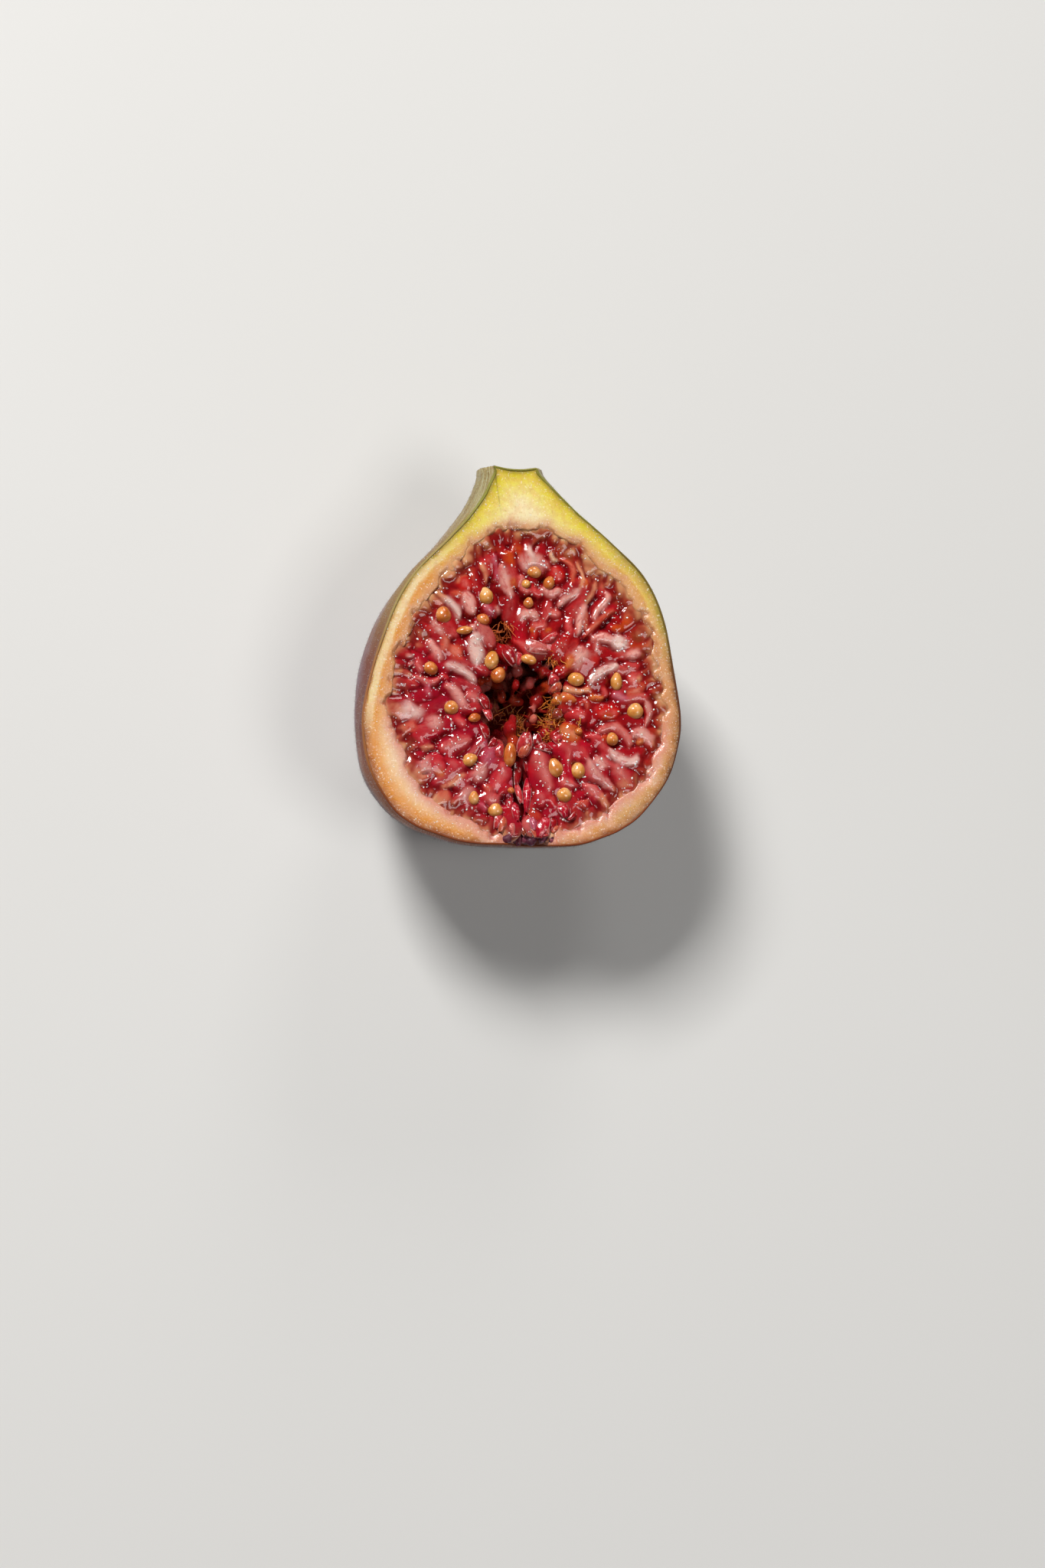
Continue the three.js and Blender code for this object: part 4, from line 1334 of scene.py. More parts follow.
petals = [
    # tone, base, tip, width, bulge above the line between them, base depth, tip height
    ("magenta", (5.0, -16.9), (5.6, -18.7), 1.4, 0.4, 0.5, 0.2),
    ("crimson", (7.1, -18.1), (5.9, -19.1), 0.8, 0.3, 0.4, 0.1),
    ("magenta", (3.3, -18.2), (2.4, -21.0), 2.1, 0.5, 0.8, 0.25),
    ("lilac", (1.8, -18.3), (1.9, -20.2), 1.0, 0.4, 0.9, 0.2),
    ("salmon", (1.6, -19.5), (2.1, -21.0), 0.7, 0.3, 0.7, 0.15),
    ("pink", (3.2, -19.3), (3.5, -20.8), 0.8, 0.3, 0.3, 0.3),
    ("jelly", (2.0, -20.9), (3.6, -20.8), 0.6, 0.3, 0.4, 0.2),
    ("crimson", (4.2, -18.4), (4.0, -20.4), 1.2, 0.4, 0.9, 0.0),
    ("salmon", (4.8, -19.6), (4.0, -20.5), 0.8, 0.3, 0.5, 0.1),
    ("peach", (4.6, -20.4), (3.7, -21.1), 0.8, 0.2, 0.5, 0.0),
    ("rose", (-1.9, -17.6), (-2.4, -20.0), 1.3, 0.5, 0.9, 0.1),
    ("salmon", (-1.5, -18.2), (-2.0, -20.4), 1.2, 0.5, 0.8, 0.25),
    ("pink", (-0.9, -18.7), (-0.6, -20.8), 1.0, 0.4, 0.9, 0.2),
    ("crimson", (-1.7, -20.9), (0.0, -20.7), 0.7, 0.3, 0.6, 0.1),
    ("brown", (0.6, -19.2), (1.0, -20.7), 1.0, 0.3, 1.4, -0.4),
    ("magenta", (1.6, -13.9), (1.0, -18.1), 1.1, 0.5, 1.5, -0.3),
    ("rose", (0.1, -14.6), (0.5, -17.0), 0.8, 0.3, 1.3, -0.3),
    ("magenta", (-0.5, -16.5), (0.1, -19.1), 1.3, 0.6, 1.4, -0.1),
    ("lilac", (-0.9, -13.2), (-1.0, -16.3), 1.1, 0.4, 1.3, -0.3),
    ("crimson", (0.4, -12.0), (0.2, -14.8), 1.1, 0.3, 1.9, -1.0),
    ("crimson", (1.4, -10.9), (1.3, -13.3), 0.9, 0.4, 1.7, -0.9),
    ("rose", (0.7, -11.6), (0.9, -8.9), 1.9, 0.4, 0.7, 0.45),
    ("salmon", (0.3, -11.7), (1.3, -10.0), 1.1, 0.4, 0.4, 0.3),
    ("crimson", (2.0, -10.2), (3.9, -10.8), 1.2, 0.4, 0.6, 0.2),
    ("crimson", (2.4, -10.6), (2.3, -9.0), 1.3, 0.4, 0.8, -0.1),
    ("rose", (-2.6, -12.3), (-1.9, -10.2), 1.4, 0.4, 0.7, 0.1),
    ("crimson", (-3.2, -10.9), (-2.5, -9.5), 1.2, 0.4, 0.7, -0.1),
    ("pink", (0.5, 1.6), (3.4, 0.7), 1.6, 0.4, 0.3, 0.3),
    ("rose", (2.9, 1.5), (4.6, 2.7), 1.2, 0.4, 0.3, 0.2),
    ("crimson", (-1.5, 1.4), (-0.4, -0.8), 1.5, 0.5, 0.7, 0.1),
    ("rose", (0.4, 1.0), (0.2, -0.9), 1.0, 0.4, 0.9, -0.3),
    ("crimson", (-4.3, -4.2), (-3.5, -6.0), 1.3, 0.3, 0.5, 0.15),
    ("rose", (-3.8, -5.9), (-3.2, -7.3), 1.0, 0.3, 0.4, 0.3),
    ("crimson", (-4.1, -7.6), (-3.5, -9.4), 1.2, 0.3, 0.5, 0.1),
    ("rose", (4.6, -1.9), (4.0, -3.2), 1.3, 0.5, 0.6, -0.2),
    ("salmon", (5.2, -3.0), (4.0, -4.1), 1.2, 0.4, 0.5, -0.4),
    ("orange", (5.5, -4.5), (4.1, -5.4), 1.2, 0.4, 0.6, -0.7),
    ("brown", (5.4, -6.3), (4.2, -6.8), 1.3, 0.4, 0.8, -1.0),
    ("rose", (5.4, -9.9), (4.2, -9.2), 1.3, 0.4, 0.6, -0.4),
]
petalShape = {"thickness": 0.13, "roll": 0.4}  # each petal is rolled by up to so many radians
eyeScales = {
    "count": 26,
    "span": (-2.4, 3.8),
    "depth": (0.3, 2.3),  # nearest to and furthest below the cut
    "base": -20.9,  # where along the fruit they start
    "length": (0.6, 1.2),
    "width": (0.6, 1.2),
    "bulge": 0.35,
    "thickness": 0.14,
    "roll": 0.5,
    "tones": ["#5c2434", "#7c3446", "#964a58", "#48182a"],
}


def leafShell(base, tip, width, bulge, thickness, roll):
    # a thin cupped leaf from its base to its ragged tip, closed all round
    along, across = 9, 7
    line = tip - base
    side = unit(np.cross(line, [0, 0, 1.0]))
    up = unit(np.cross(side, line))
    side, up = side * math.cos(roll) + up * math.sin(roll), up * math.cos(roll) - side * math.sin(roll)
    s = np.linspace(0, 1, along)[:, None]
    w = np.linspace(-1, 1, across)[None]
    half = width / 2 * (np.clip(np.sin(math.pi * (0.12 + 0.8 * s)), 0, 1) ** 0.7)
    ragged = 0.12 * np.sin(9 * w + 3 * base[0]) * s**3
    centre = base + line * (s + ragged)[..., None]
    arch = bulge * (np.sin(math.pi * s) - 0.75 * w**2 * (0.3 + s))
    top = centre + side * (half * w)[..., None] + up * arch[..., None]
    low = top - up * thickness * (1 - 0.6 * w[..., None] ** 2)
    points = np.concatenate([top.reshape(-1, 3), low.reshape(-1, 3)])
    grid = np.arange(along * across).reshape(along, across)
    under = along * across
    faces = []
    corners = (grid[:-1, :-1], grid[:-1, 1:], grid[1:, 1:], grid[1:, :-1])
    for a, b, c, d in zip(*[corner.ravel() for corner in corners]):
        faces.append([a, b, c, d])
        faces.append([under + a, under + d, under + c, under + b])
    rim = [*grid[0], *grid[1:, -1], *grid[-1, -2::-1], *grid[-2:0:-1, 0]]
    for a, b in zip(rim, rim[1:] + rim[:1]):
        faces.append([b, a, under + a, under + b])
    shares = np.concatenate([(s + 0 * w).ravel()] * 2)
    sides = np.concatenate([np.abs(w + 0 * s).ravel()] * 2)
    return points, faces, shares, sides


def leafPiece(name, leaves, materials):
    # many leaves as one mesh; each is its tone and what leafShell asks for
    tones, *shapes = zip(*leaves)
    points, leafFaces, shares, sides = zip(*[leafShell(*shape) for shape in zip(*shapes)])
    size = len(points[0])
    faces = [[n * size + v for v in face] for n, own in enumerate(leafFaces) for face in own]
    mesh = plainMesh(name, np.vstack(points), faces)
    setValues(mesh, "tint", [hexColour(tone) for tone in tones for _ in range(size)])
    setValues(mesh, "along", np.concatenate(shares))
    setValues(mesh, "side", np.concatenate(sides))
    rounded = addObject("rounded", mesh)
    rounded.modifiers.new("soften", "SUBSURF").levels = 1
    made = baked(rounded)
    bpy.data.objects.remove(rounded)
    return finished(name, made, materials)


def buildPetals(material):
    leaves = []
    thickness, roll = petalShape["thickness"], petalShape["roll"]
    for tone, base, tip, width, bulge, depth, height in petals:
        start = np.array([*placeOf(*base), cutHeight - depth])
        end = np.array([*placeOf(*tip), cutHeight + height])
        leaves.append((tones[tone][0], start, end, width, bulge, thickness, random.uniform(-roll, roll)))
    return leafPiece("fig_petals", leaves, [material])


def buildEyeScales(material):
    # the eye's own scales, dark purple with pale ragged edges, packed in the notch
    low, high = eyeScales["span"]
    shallow, deep = eyeScales["depth"]
    bulge, thickness, roll = (eyeScales[name] for name in ("bulge", "thickness", "roll"))
    leaves = []
    for i in range(eyeScales["count"]):
        x = low + (high - low) * ((i * 0.618) % 1)
        depth = shallow + (deep - shallow) * ((i * 0.381) % 1)
        squeeze = 1 - 0.25 * depth
        x = eyeX + (x - eyeX) * squeeze
        length = random.uniform(*eyeScales["length"])
        base = np.array([x, eyeScales["base"] + 0.9 * random.random() ** 2, cutHeight - depth])
        tip = base + [random.uniform(-0.5, 0.5), -length, random.uniform(-0.1, 0.5)]
        tone = random.choice(eyeScales["tones"])
        width = random.uniform(*eyeScales["width"])
        leaves.append((tone, base, tip, width, bulge, thickness, random.uniform(-roll, roll)))
    return leafPiece("fig_eye", leaves, [material])


downShape = {"Hairs per square mm": 4.5, "Length": 0.3, "Thickness": 0.016, "Seed": 5}


def downTree():
    # short hairs on the faces, leaning and sized at random
    tree, start = newTree("down", hairs_per_square_mm="Float", length="Float", thickness="Float", seed="Int")
    downy = addNode(tree, "GeometryNodeInputNamedAttribute", {"Name": "downy"}, data_type="FLOAT")
    spots = addNode(tree, "GeometryNodeDistributePointsOnFaces", {
        "Mesh": start["Geometry"], "Density": start["Hairs per square mm"], "Seed": start["Seed"],
        "Selection": downy.outputs[0],
    })
    lean = addNode(tree, "FunctionNodeRandomValue", {
        0: (-0.6, -0.6, 0.0), 1: (0.6, 0.6, 6.28), "Seed": start["Seed"],
    }, data_type="FLOAT_VECTOR")
    tilt = addNode(tree, "FunctionNodeEulerToRotation", {0: lean.outputs[0]})
    turned = addNode(tree, "FunctionNodeRotateRotation", {
        "Rotation": spots.outputs["Rotation"], "Rotate By": tilt.outputs[0],
    }, rotation_space="LOCAL")
    hair = addNode(tree, "GeometryNodeMeshCone", {
        "Vertices": 3, "Radius Top": 0.0, "Radius Bottom": start["Thickness"], "Depth": start["Length"],
    }, fill_type="NGON")
    size = addNode(tree, "FunctionNodeRandomValue", {2: 0.45, 3: 1.2, "Seed": 4}, data_type="FLOAT")
    hairs = addNode(tree, "GeometryNodeInstanceOnPoints", {
        "Points": spots.outputs["Points"], "Instance": hair.outputs[0],
        "Rotation": turned.outputs[0], "Scale": size.outputs[1],
    })
    endTree(tree, hairs.outputs[0], start["Material"])
    return tree


def buildDown(material):
    # over the whole skin but the patch that it rests on
    steps = outer[:-6]
    mesh = plainMesh("downBase", steps.reshape(-1, 3), ringQuads(steps)[:, [0, 3, 2, 1]])
    points = meshPoints(mesh)
    setValues(mesh, "downy", points[:, 2] > 0.8)
    made = grown(downTree(), mesh, {**downShape, "Material": material})
    return finished("fig_down", made)


def newMaterial(name, constants):
    # a material with its shader; what is the same all over goes on the shader's own sockets
    material = bpy.data.materials.new(name)
    material.use_nodes = True
    tree = material.node_tree
    shader = tree.nodes["Principled BSDF"]
    setSockets(tree, shader, constants)
    return material, tree, shader


def placeSockets(tree):
    # Object coordinates, whole and in their three parts
    here = addNode(tree, "ShaderNodeTexCoord").outputs["Object"]
    return here, *addNode(tree, "ShaderNodeSeparateXYZ", {0: here}).outputs


def attributeSockets(tree, names, kind="Fac"):
    # the mesh's own attributes
    return [addNode(tree, "ShaderNodeAttribute", attribute_name=name).outputs[kind] for name in names]


def patternSockets(tree, vector, patterns):
    # one noise pattern for each row of inputs
    return [addNode(tree, "ShaderNodeTexNoise", {"Vector": vector, **row}).outputs[0] for row in patterns]


def swung(tree, value, pattern, amount):
    # a value with some of a pattern added, so that what it steers has a wandering border
    return addNode(tree, "ShaderNodeMath", {
        0: pattern, 1: amount, 2: value,
    }, operation="MULTIPLY_ADD").outputs[0]


def fadeRamp(tree, value, stops):
    # a colour ramp through hex colours
    ramp = addNode(tree, "ShaderNodeValToRGB", {0: value})
    while len(ramp.color_ramp.elements) < len(stops):
        ramp.color_ramp.elements.new(0.5)
    for element, (place, code) in zip(ramp.color_ramp.elements, stops):
        element.position = place
        element.color = hexColour(code)
    return ramp.outputs[0]


def layered(tree, base, layers, blend="MIX"):
    # Colours laid over each other. A layer is its colour and the value that shows it, then where on
    # that value it starts and is full, and the most it covers.
    base = hexColour(base) if isinstance(base, str) else base
    for colour, value, *span in layers:
        colour = hexColour(colour) if isinstance(colour, str) else colour
        value = eased(tree, value, *span) if span else value
        base = addNode(tree, "ShaderNodeMix", {
            0: value, 6: base, 7: colour,
        }, data_type="RGBA", blend_type=blend).outputs[2]
    return base


def bumped(tree, height, strength, distance):
    # small relief from a pattern, its distance in metres
    return addNode(tree, "ShaderNodeBump", {
        "Height": height, "Strength": strength, "Distance": distance,
    }).outputs[0]


def belowCut(depth):
    # the height in metres that lies this many millimetres below the cut
    return (cutHeight - depth) * mm


# The rind's colour from its outer edge, at 0, to 4 mm in, at 1, on each side of the fruit.
rindColours = {
    "right": [
        (0.0, "#4a2810"), (0.06, "#744418"), (0.17, "#aa6e2e"), (0.35, "#cc9652"), (0.62, "#e0b07a"),
        (1.0, "#e8be94"),
    ],
    "shoulder": [
        (0.0, "#564812"), (0.05, "#8c7a24"), (0.18, "#c0a03a"), (0.34, "#deba54"), (0.42, "#d49c38"),
        (0.54, "#e0b068"), (0.8, "#e6ba84"), (1.0, "#e8be92"),
    ],
    "left": [
        (0.0, "#6e3416"), (0.04, "#a05a20"), (0.08, "#cb9450"), (0.13, "#e8c890"), (0.28, "#ecd2a0"),
        (0.34, "#e0a85a"), (0.41, "#da8e32"), (0.5, "#dd9c48"), (0.62, "#e2ad76"), (1.0, "#e9bf9e"),
    ],
    "lower": [
        (0.0, "#6a3014"), (0.06, "#8c4618"), (0.16, "#b46820"), (0.28, "#d68a34"), (0.42, "#e2a05a"),
        (0.6, "#ebbe8a"), (0.8, "#efcfa8"), (1.0, "#edcba8"),
    ],
    "neck": [
        (0.0, "#6a6010"), (0.05, "#a8980a"), (0.16, "#d2bc1a"), (0.34, "#e4cf48"), (0.7, "#ecdb86"),
        (1.0, "#f0dfae"),
    ],
}


def rindMaterial():
    # fresh fig flesh, cut and wet: cells full of juice scatter light, and near-white painted glints sit on
    # some of them
    material, tree, shader = newMaterial("cut_fig_flesh", {
        "Roughness": 0.34, "IOR": 1.38, "Coat Weight": 0.55, "Coat Roughness": 0.12,
        "Subsurface Weight": 0.35, "Subsurface Scale": 0.0012, "Subsurface Radius": (1.0, 0.45, 0.2),
    })
    here, x, y, _ = placeSockets(tree)
    edge, fray, inward = attributeSockets(tree, ("edge", "fray", "inward"))
    # soft bands 3 mm across, strands 0.7 mm and cells 0.2 mm
    bands, fibres, cells = patternSockets(tree, here, [
        {"Scale": 330.0, "Detail": 3.0}, {"Scale": 1300.0, "Detail": 3.0}, {"Scale": 4600.0, "Detail": 2.0},
    ])
    shifted = addNode(tree, "ShaderNodeMath", {0: swung(tree, edge, bands, 0.9), 1: -0.45}, operation="ADD")
    depth = addNode(tree, "ShaderNodeMath", {0: shifted.outputs[0], 1: 4.0}, operation="DIVIDE")
    right, shoulder, left, lower, neck = [
        fadeRamp(tree, depth.outputs[0], stops) for stops in rindColours.values()
    ]
    colour = layered(tree, right, [
        (shoulder, y, -0.002, 0.005),
        (left, x, 0.001, -0.006),
        (lower, swung(tree, y, x, 0.4), -0.013, -0.0185),
        (neck, y, 0.008, 0.0155),
    ])
    # close to the pulp the flesh turns glassy and brown between the strands
    reach = swung(tree, fray, fibres, 1.2)
    tan, blush, brown = [layered(tree, upper, [(lowDown, y, -0.004, -0.011)]) for upper, lowDown in (
        ("#d9a274", "#e4b096"), ("#c8804e", "#d07a6c"), ("#a0523a", "#b44e46"),
    )]
    olive = addNode(tree, "ShaderNodeMath", {
        0: eased(tree, y, -0.001, 0.008), 1: eased(tree, edge, 0.8, 0.1, 0.8),
    }, operation="MULTIPLY")
    colour = layered(tree, colour, [
        ("#dba26c", fibres, 0.62, 0.35, 0.3),
        ("#a88c2c", olive.outputs[0]),
        (tan, reach, -1.2, 0.4, 0.8),
        (blush, swung(tree, inward, fibres, 1.0), -1.5, 0.55, 0.75),
        (brown, reach, 0.0, 0.95, 0.85),
        # painted highlight: near-white glints on the cells
        ("#fff1dc", cells, 0.6, 0.72, 0.5),
        ("#b9782f", cells, 0.42, 0.28, 0.25),
    ])
    setSockets(tree, shader, {
        "Base Color": colour,
        "Normal": bumped(tree, swung(tree, cells, fibres, 1.2), 0.5, 0.00008),
        "Coat Normal": bumped(tree, cells, 0.9, 0.00007),
    })
    return material


def pulpMaterial():
    # fig pulp: pale florets in a crimson jelly, all under a film of juice
    material, tree, shader = newMaterial("juicy_fig_pulp", {
        "Roughness": 0.35, "IOR": 1.38, "Specular IOR Level": 0.05, "Coat Roughness": 0.07,
        "Coat IOR": 1.42, "Subsurface Weight": 0.5, "Subsurface Scale": 0.0011,
        "Subsurface Radius": (1.0, 0.22, 0.16),
    })
    here, x, y, z = placeSockets(tree)
    core, cleft, swell, fray = attributeSockets(tree, ("core", "cleft", "swell", "fray"))
    tint, = attributeSockets(tree, ["tint"], "Color")
    fan, = attributeSockets(tree, ["fan"], "Vector")
    # clouds in the jelly 2 mm across, marbling 0.7 mm, beads of wet 1 mm, and fibres 0.4 mm
    # wide that fan out
    clouds, marbling, beads = patternSockets(tree, here, [
        {"Scale": 480.0, "Detail": 2.0}, {"Scale": 1500.0, "Detail": 3.0, "Distortion": 0.6},
        {"Scale": 800.0, "Detail": 1.0},
    ])
    fibres, = patternSockets(tree, fan, [{"Scale": 2.4, "Detail": 3.0, "Distortion": 0.8}])
    streaky = addNode(tree, "ShaderNodeMix", {"Factor": 0.5, "A": marbling, "B": fibres}).outputs[0]
    depth = addNode(tree, "ShaderNodeMath", {0: swung(tree, fray, clouds, 1.2), 1: 6.0}, operation="DIVIDE")
    jelly = fadeRamp(tree, depth.outputs[0], [
        (0.0, "#d9a274"), (0.1, "#c08058"), (0.18, "#9c4830"), (0.28, "#8e2a1c"), (0.42, "#9c1018"),
        (1.0, "#840810"),
    ])
    jelly = layered(tree, jelly, [("#aa140e", clouds, 0.52, 0.72, 0.6)])
    flesh = layered(tree, tint, [("#b0181a", streaky, 0.5, 0.36, 0.5)])
    flesh = layered(tree, flesh, [("#f2d4c8", streaky, 0.55, 0.7, 0.45)], "OVERLAY")
    flesh = layered(tree, flesh, [("#d8946a", fray, 1.5, -0.1, 0.85)])
    mottled = swung(tree, swung(tree, core, swell, 0.2), streaky, 0.9)
    colour = layered(tree, jelly, [
        (flesh, mottled, 0.65, 1.3),
        ("#a8083a", swung(tree, y, x, 0.6), 0.001, -0.012, 0.22),
        # painted shade: darker in the clefts between florets and where the surface dips (swell below zero)
        ("#7c060c", cleft, 0.05, 0.7, 0.8),
        ("#6c040a", swell, -0.1, -0.8, 0.8),
        # painted shade: browner and darker further down into the hollow
        ("#8c2412", z, belowCut(0.9), belowCut(2.8), 0.38),
        ("#300a04", z, belowCut(3), belowCut(8.5), 0.15),
    ])
    setSockets(tree, shader, {
        "Base Color": colour,
        "Coat Weight": eased(tree, z, belowCut(7), belowCut(1.5)),
        "Normal": bumped(tree, streaky, 0.5, 0.00014),
        "Coat Normal": bumped(tree, beads, 0.5, 0.00022),
    })
    return material


def beadHighlightMaterial():
    # beads of juice, coloured pale pink to near white as painted highlights, shiny and a little see-through
    material, tree, shader = newMaterial("juice_bead_painted_highlight", {
        "Roughness": 0.15, "IOR": 1.4, "Coat Weight": 1.0, "Coat Roughness": 0.04,
        "Subsurface Weight": 0.5, "Subsurface Scale": 0.0003,
    })
    change, = patternSockets(tree, placeSockets(tree)[0], [{"Scale": 1600.0}])
    setSockets(tree, shader, {"Base Color": fadeRamp(tree, change, [(0.4, "#f0c4bc"), (0.6, "#fff6f2")])})
    return material


def seedMaterial():
    # a fig's seed: a smooth golden shell, wet and a little see-through
    material, tree, shader = newMaterial("wet_seed_shell", {
        "Roughness": 0.3, "IOR": 1.45, "Coat Weight": 0.9, "Coat Roughness": 0.06,
        "Subsurface Weight": 0.35, "Subsurface Scale": 0.0007, "Subsurface Radius": (1.0, 0.5, 0.15),
    })
    here, _, _, z = placeSockets(tree)
    ripe, = attributeSockets(tree, ["ripe"])
    clouds, specks = patternSockets(tree, here, [
        {"Scale": 900.0, "Detail": 3.0}, {"Scale": 5200.0, "Detail": 2.0},
    ])
    golden = fadeRamp(tree, clouds, [(0.3, "#c8792c"), (0.5, "#dd9a4c"), (0.7, "#ecbb7c")])
    orange = fadeRamp(tree, clouds, [(0.3, "#ac4412"), (0.5, "#c86426"), (0.7, "#dc8a4a")])
    colour = layered(tree, golden, [
        (orange, ripe),
        ("#a9681c", specks, 0.58, 0.7, 0.35),
        # redder and darker low on each seed: partly the red jelly round its foot, partly painted shade on its
        # lower sides
        ("#8c2c0a", z, belowCut(0.25), belowCut(1.2), 0.8),
        # painted shade: darker deeper in the hollow
        ("#3a1206", z, belowCut(2), belowCut(7), 0.75),
    ])
    setSockets(tree, shader, {"Base Color": colour, "Normal": bumped(tree, specks, 0.25, 0.00004)})
    return material


def petalMaterial():
    # torn floret walls: thin wet sheets, deep red with paler edges
    material, tree, shader = newMaterial("torn_floret_wall", {
        "Roughness": 0.26, "IOR": 1.38, "Coat Weight": 1.0, "Coat Roughness": 0.06,
        "Subsurface Weight": 0.35, "Subsurface Scale": 0.0008, "Subsurface Radius": (1.0, 0.25, 0.2),
    })
    here, _, _, z = placeSockets(tree)
    tint, = attributeSockets(tree, ["tint"], "Color")
    side, = attributeSockets(tree, ["side"])
    veins, = patternSockets(tree, here, [{"Scale": 1800.0, "Detail": 3.0, "Distortion": 0.8}])
    colour = layered(tree, tint, [
        ("#8e0c22", veins, 0.5, 0.34, 0.7),
        ("#eab4ac", side, 0.8, 1.0, 0.45),
        ("#f2cfc6", veins, 0.58, 0.72, 0.5),
        # painted shade: darker further below the cut, down the channel
        ("#6c0818", z, belowCut(1.5), belowCut(3.2), 0.6),
    ])
    veined = bumped(tree, veins, 0.5, 0.00012)
    setSockets(tree, shader, {"Base Color": colour, "Normal": veined, "Coat Normal": veined})
    return material


def scaleMaterial():
    # the eye's papery scales: dry purple-brown with whitish frayed tips
    material, tree, shader = newMaterial("eye_scale", {
        "Roughness": 0.5, "IOR": 1.4, "Subsurface Weight": 0.1, "Subsurface Scale": 0.0004,
    })
    tint, = attributeSockets(tree, ["tint"], "Color")
    along, = attributeSockets(tree, ["along"])
    fray, = patternSockets(tree, placeSockets(tree)[0], [{"Scale": 2600.0, "Detail": 3.0}])
    colour = layered(tree, tint, [
        ("#541c30", fray, 0.5, 0.35, 0.5),
        ("#c9aeb8", swung(tree, along, fray, 0.6), 1.2, 1.5, 0.8),
    ])
    setSockets(tree, shader, {"Base Color": colour, "Normal": bumped(tree, fray, 0.5, 0.0001)})
    return material


def threadMaterial():
    # dried styles in the hollow: brown to ochre threads, dull and dry
    material, tree, shader = newMaterial("dried_style", {"Roughness": 0.5, "IOR": 1.45})
    ochre, = attributeSockets(tree, ["ochre"])
    colour = fadeRamp(tree, ochre, [(0.0, "#98380c"), (0.5, "#cc5f14"), (1.0, "#dc8c34")])
    height = placeSockets(tree)[3]
    # painted shade: darker deeper in the hollow
    colour = layered(tree, colour, [("#3a1606", height, belowCut(2.2), belowCut(6), 0.6)])
    setSockets(tree, shader, {"Base Color": colour})
    return material


def skinMaterial():
    # a dark fig's skin: thin and dull, streaked purple and green under a pale waxy bloom
    material, tree, shader = newMaterial("fig_skin_with_bloom", {
        "Roughness": 0.52, "IOR": 1.42, "Specular IOR Level": 0.2, "Sheen Weight": 0.06,
        "Sheen Roughness": 0.5, "Subsurface Weight": 0.06, "Subsurface Scale": 0.0004,
    })
    here, x, y, _ = placeSockets(tree)
    below, stump = attributeSockets(tree, ("below", "stump"))
    meridian, = attributeSockets(tree, ["meridian"], "Vector")
    # streaks run from neck to eye: fine across the fruit, and 15 mm long
    length = addNode(tree, "ShaderNodeMath", {0: y, 1: 1000 / 15}, operation="MULTIPLY")
    run = addNode(tree, "ShaderNodeCombineXYZ", {"Y": length.outputs[0]})
    path = addNode(tree, "ShaderNodeVectorMath", {
        0: meridian, 1: (9.0, 0, 9.0), 2: run.outputs[0],
    }, operation="MULTIPLY_ADD")
    streaks, fine, scars = patternSockets(tree, path.outputs[0], [
        {"Scale": 1.0, "Detail": 3.0}, {"Scale": 3.2, "Detail": 4.0},
        {"Scale": 0.62, "Detail": 2.0, "Distortion": 0.4},
    ])
    patches, grain = patternSockets(tree, here, [
        {"Scale": 130.0, "Detail": 4.0}, {"Scale": 3800.0, "Detail": 3.0},
    ])
    base = fadeRamp(tree, streaks, [
        (0.3, "#4e2c3c"), (0.45, "#6a4352"), (0.58, "#86606a"), (0.72, "#9c7a78"),
    ])
    neck = fadeRamp(tree, fine, [
        (0.34, "#86713c"), (0.46, "#98885a"), (0.56, "#a49a70"), (0.7, "#b2ae8c"),
    ])
    # the bloom is rubbed off and the skin stained along the cut, with a dark line at its very edge
    rimColour = layered(tree, "#703620", [
        ("#924a16", y, -0.008, -0.016),
        ("#5c3038", streaks, 0.5, 0.66, 0.5),
        ("#8a6c34", y, -0.003, 0.009),
        (neck, y, 0.012, 0.019),
    ])
    leftLine = layered(tree, "#9a6234", [("#9a8850", y, -0.004, 0.006)])
    edgeLine = layered(tree, "#5e3416", [
        ("#6c5c20", y, -0.004, 0.006),
        (leftLine, x, 0.001, -0.006),
        ("#7c7a1c", y, 0.012, 0.018),
        ("#7a3a18", y, -0.012, -0.018),
    ])
    dryEnd = layered(tree, "#8c7446", [("#b8ac76", patches, 0.4, 0.62), ("#5e4426", grain, 0.5, 0.38, 0.6)])
    colour = layered(tree, base, [
        ("#7c5064", fine, 0.5, 0.68, 0.6),
        ("#4a2634", y, -0.008, -0.021, 0.6),
        ("#a0979f", patches, 0.36, 0.62, 0.78),
        ("#8d8798", fine, 0.55, 0.36, 0.45),
        ("#a88e70", y, 0.002, 0.012, 0.6),
        (neck, y, 0.012, 0.019, 0.85),
        ("#a9825c", scars, 0.66, 0.7, 0.7),
        ("#d9d4dc", grain, 0.56, 0.72, 0.3),
        (rimColour, swung(tree, below, patches, 8.0), 10.2, 5.2, 0.94),
        ("#6a4438", grain, 0.5, 0.36, 0.3),
        (dryEnd, stump),
        (edgeLine, below, 0.4, 0.1, 0.8),
    ])
    rough = addNode(tree, "ShaderNodeMapRange", {
        "Value": patches, "From Min": 0.35, "From Max": 0.65, "To Min": 0.42, "To Max": 0.68,
    })
    setSockets(tree, shader, {
        "Base Color": colour,
        "Roughness": rough.outputs[0],
        "Normal": bumped(tree, swung(tree, grain, fine, 2.0), 0.5, 0.00009),
    })
    return material


def downMaterial():
    # the skin's down: colourless hairs that catch the light at the edge
    material, tree, shader = newMaterial("skin_down", {"Roughness": 0.5, "IOR": 1.5})
    change, = patternSockets(tree, placeSockets(tree)[0], [{"Scale": 700.0}])
    setSockets(tree, shader, {"Base Color": fadeRamp(tree, change, [(0.35, "#a89c94"), (0.65, "#d8d2cc")])})
    return material


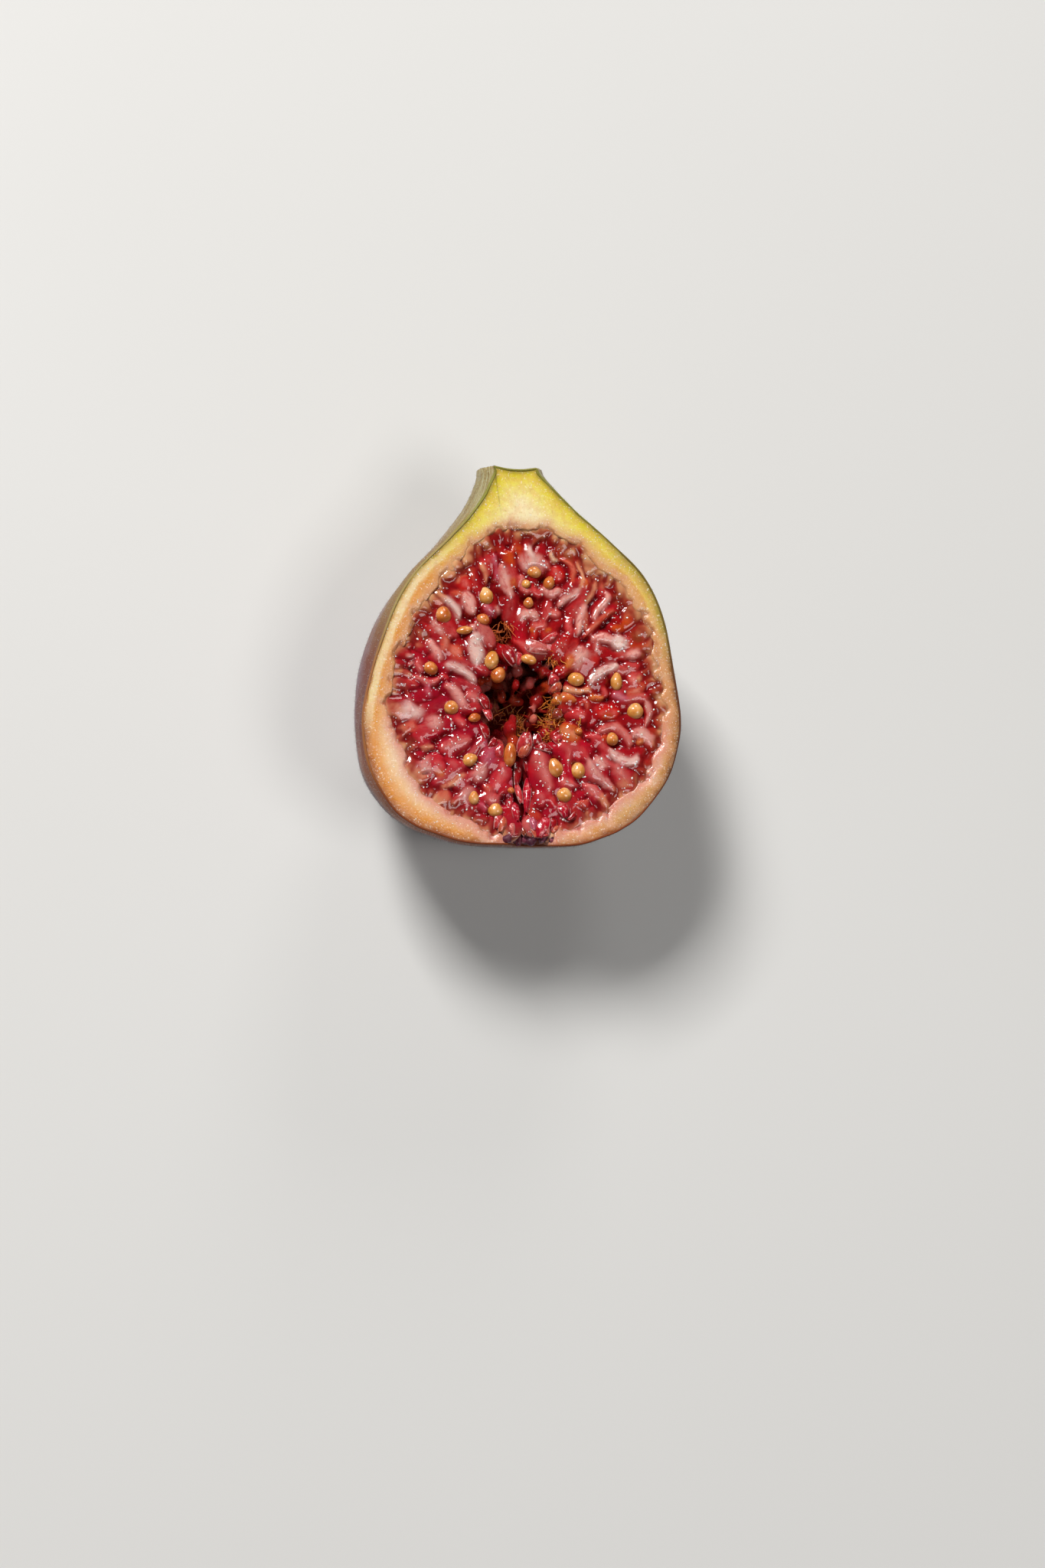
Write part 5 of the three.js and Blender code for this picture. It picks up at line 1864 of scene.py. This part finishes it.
strandTree = sweepTree()
skin = buildSkin([skinMaterial()])
rind, rindFaces = buildRind([rindMaterial()])
pulp, pulpFaces = buildPulp([pulpMaterial()], strandTree)
for piece in (skin, rind, pulp):
    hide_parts("fig_half")
beads, beadHighlight = beadTree(), beadHighlightMaterial()
buildJuice("fig_juice", pulpFaces, beads, beadHighlight)
buildJuice("fig_rind_juice", rindFaces, beads, beadHighlight)
buildSeeds(seedMaterial())
buildThreads(threadMaterial(), strandTree)
buildPetals(petalMaterial())
buildEyeScales(scaleMaterial())
buildDown(downMaterial())


stage = {
    "floor": "#d9d7d3",
    "floorSize": 4.0,
    "world": ("#e8ecf2", 0.05),
    "aim": (0, -0.004, 0.016),  # the middle of the cut face, which the lamps point at, in metres
    # name, place from there, size, watts
    "lights": [
        ("key", (-0.48, 0.61, 0.74), 0.29, 12.7),
        ("fill", (0.40, -0.26, 1.22), 0.48, 4.3),
        ("back", (0.24, 1.28, 0.56), 0.40, 3.4),
    ],
}


def buildStage():
    half = stage["floorSize"] / 2
    corners = [(-half, -half, 0), (half, -half, 0), (half, half, 0), (-half, half, 0)]
    floor = addObject("floor", plainMesh("floor", corners, [(0, 1, 2, 3)]))
    material, tree, shader = newMaterial("matt_paint", {"Roughness": 0.75, "IOR": 1.4})
    faint, = patternSockets(tree, placeSockets(tree)[0], [{"Scale": 6.0}])
    colour = layered(tree, stage["floor"], [("#ffffff", faint, 0.4, 0.6, 0.04)])
    setSockets(tree, shader, {"Base Color": colour})
    floor.data.materials.append(material)
    world = bpy.data.worlds.new("studio")
    bpy.context.scene.world = world
    world.use_nodes = True
    background = world.node_tree.nodes["Background"]
    code, strength = stage["world"]
    background.inputs["Color"].default_value = hexColour(code)
    background.inputs["Strength"].default_value = strength
    middle = Vector(stage["aim"])
    for name, place, size, watts in stage["lights"]:
        lamp = bpy.data.lights.new(name, "AREA")
        lamp.size = size
        lamp.energy = watts
        holder = bpy.data.objects.new(name, lamp)
        bpy.context.collection.objects.link(holder)
        holder.location = middle + Vector(place)
        holder.rotation_euler = (middle - holder.location).to_track_quat("-Z", "Y").to_euler()
    print(f"stage set: floor and {len(stage['lights'])} lamps")


def buildCamera():
    lens = bpy.data.cameras.new("camera")
    lens.lens = view["distance"] * lens.sensor_width / view["fieldHeight"]
    holder = bpy.data.objects.new("camera", lens)
    bpy.context.collection.objects.link(holder)
    turn = Matrix(np.column_stack([viewRight, viewUp, viewBack]).tolist()).to_4x4()
    aim = np.array([*view["aim"], cutHeight]) - [*fruit["middle"], 0]
    holder.matrix_world = Matrix.Translation((aim + viewBack * view["distance"]) * mm) @ turn
    bpy.context.scene.camera = holder
    print(f"camera set: {lens.lens:.0f} mm lens, {view['distance']:.0f} mm away")


buildStage()
buildCamera()
bpy.context.scene.view_settings.view_transform = "Standard"
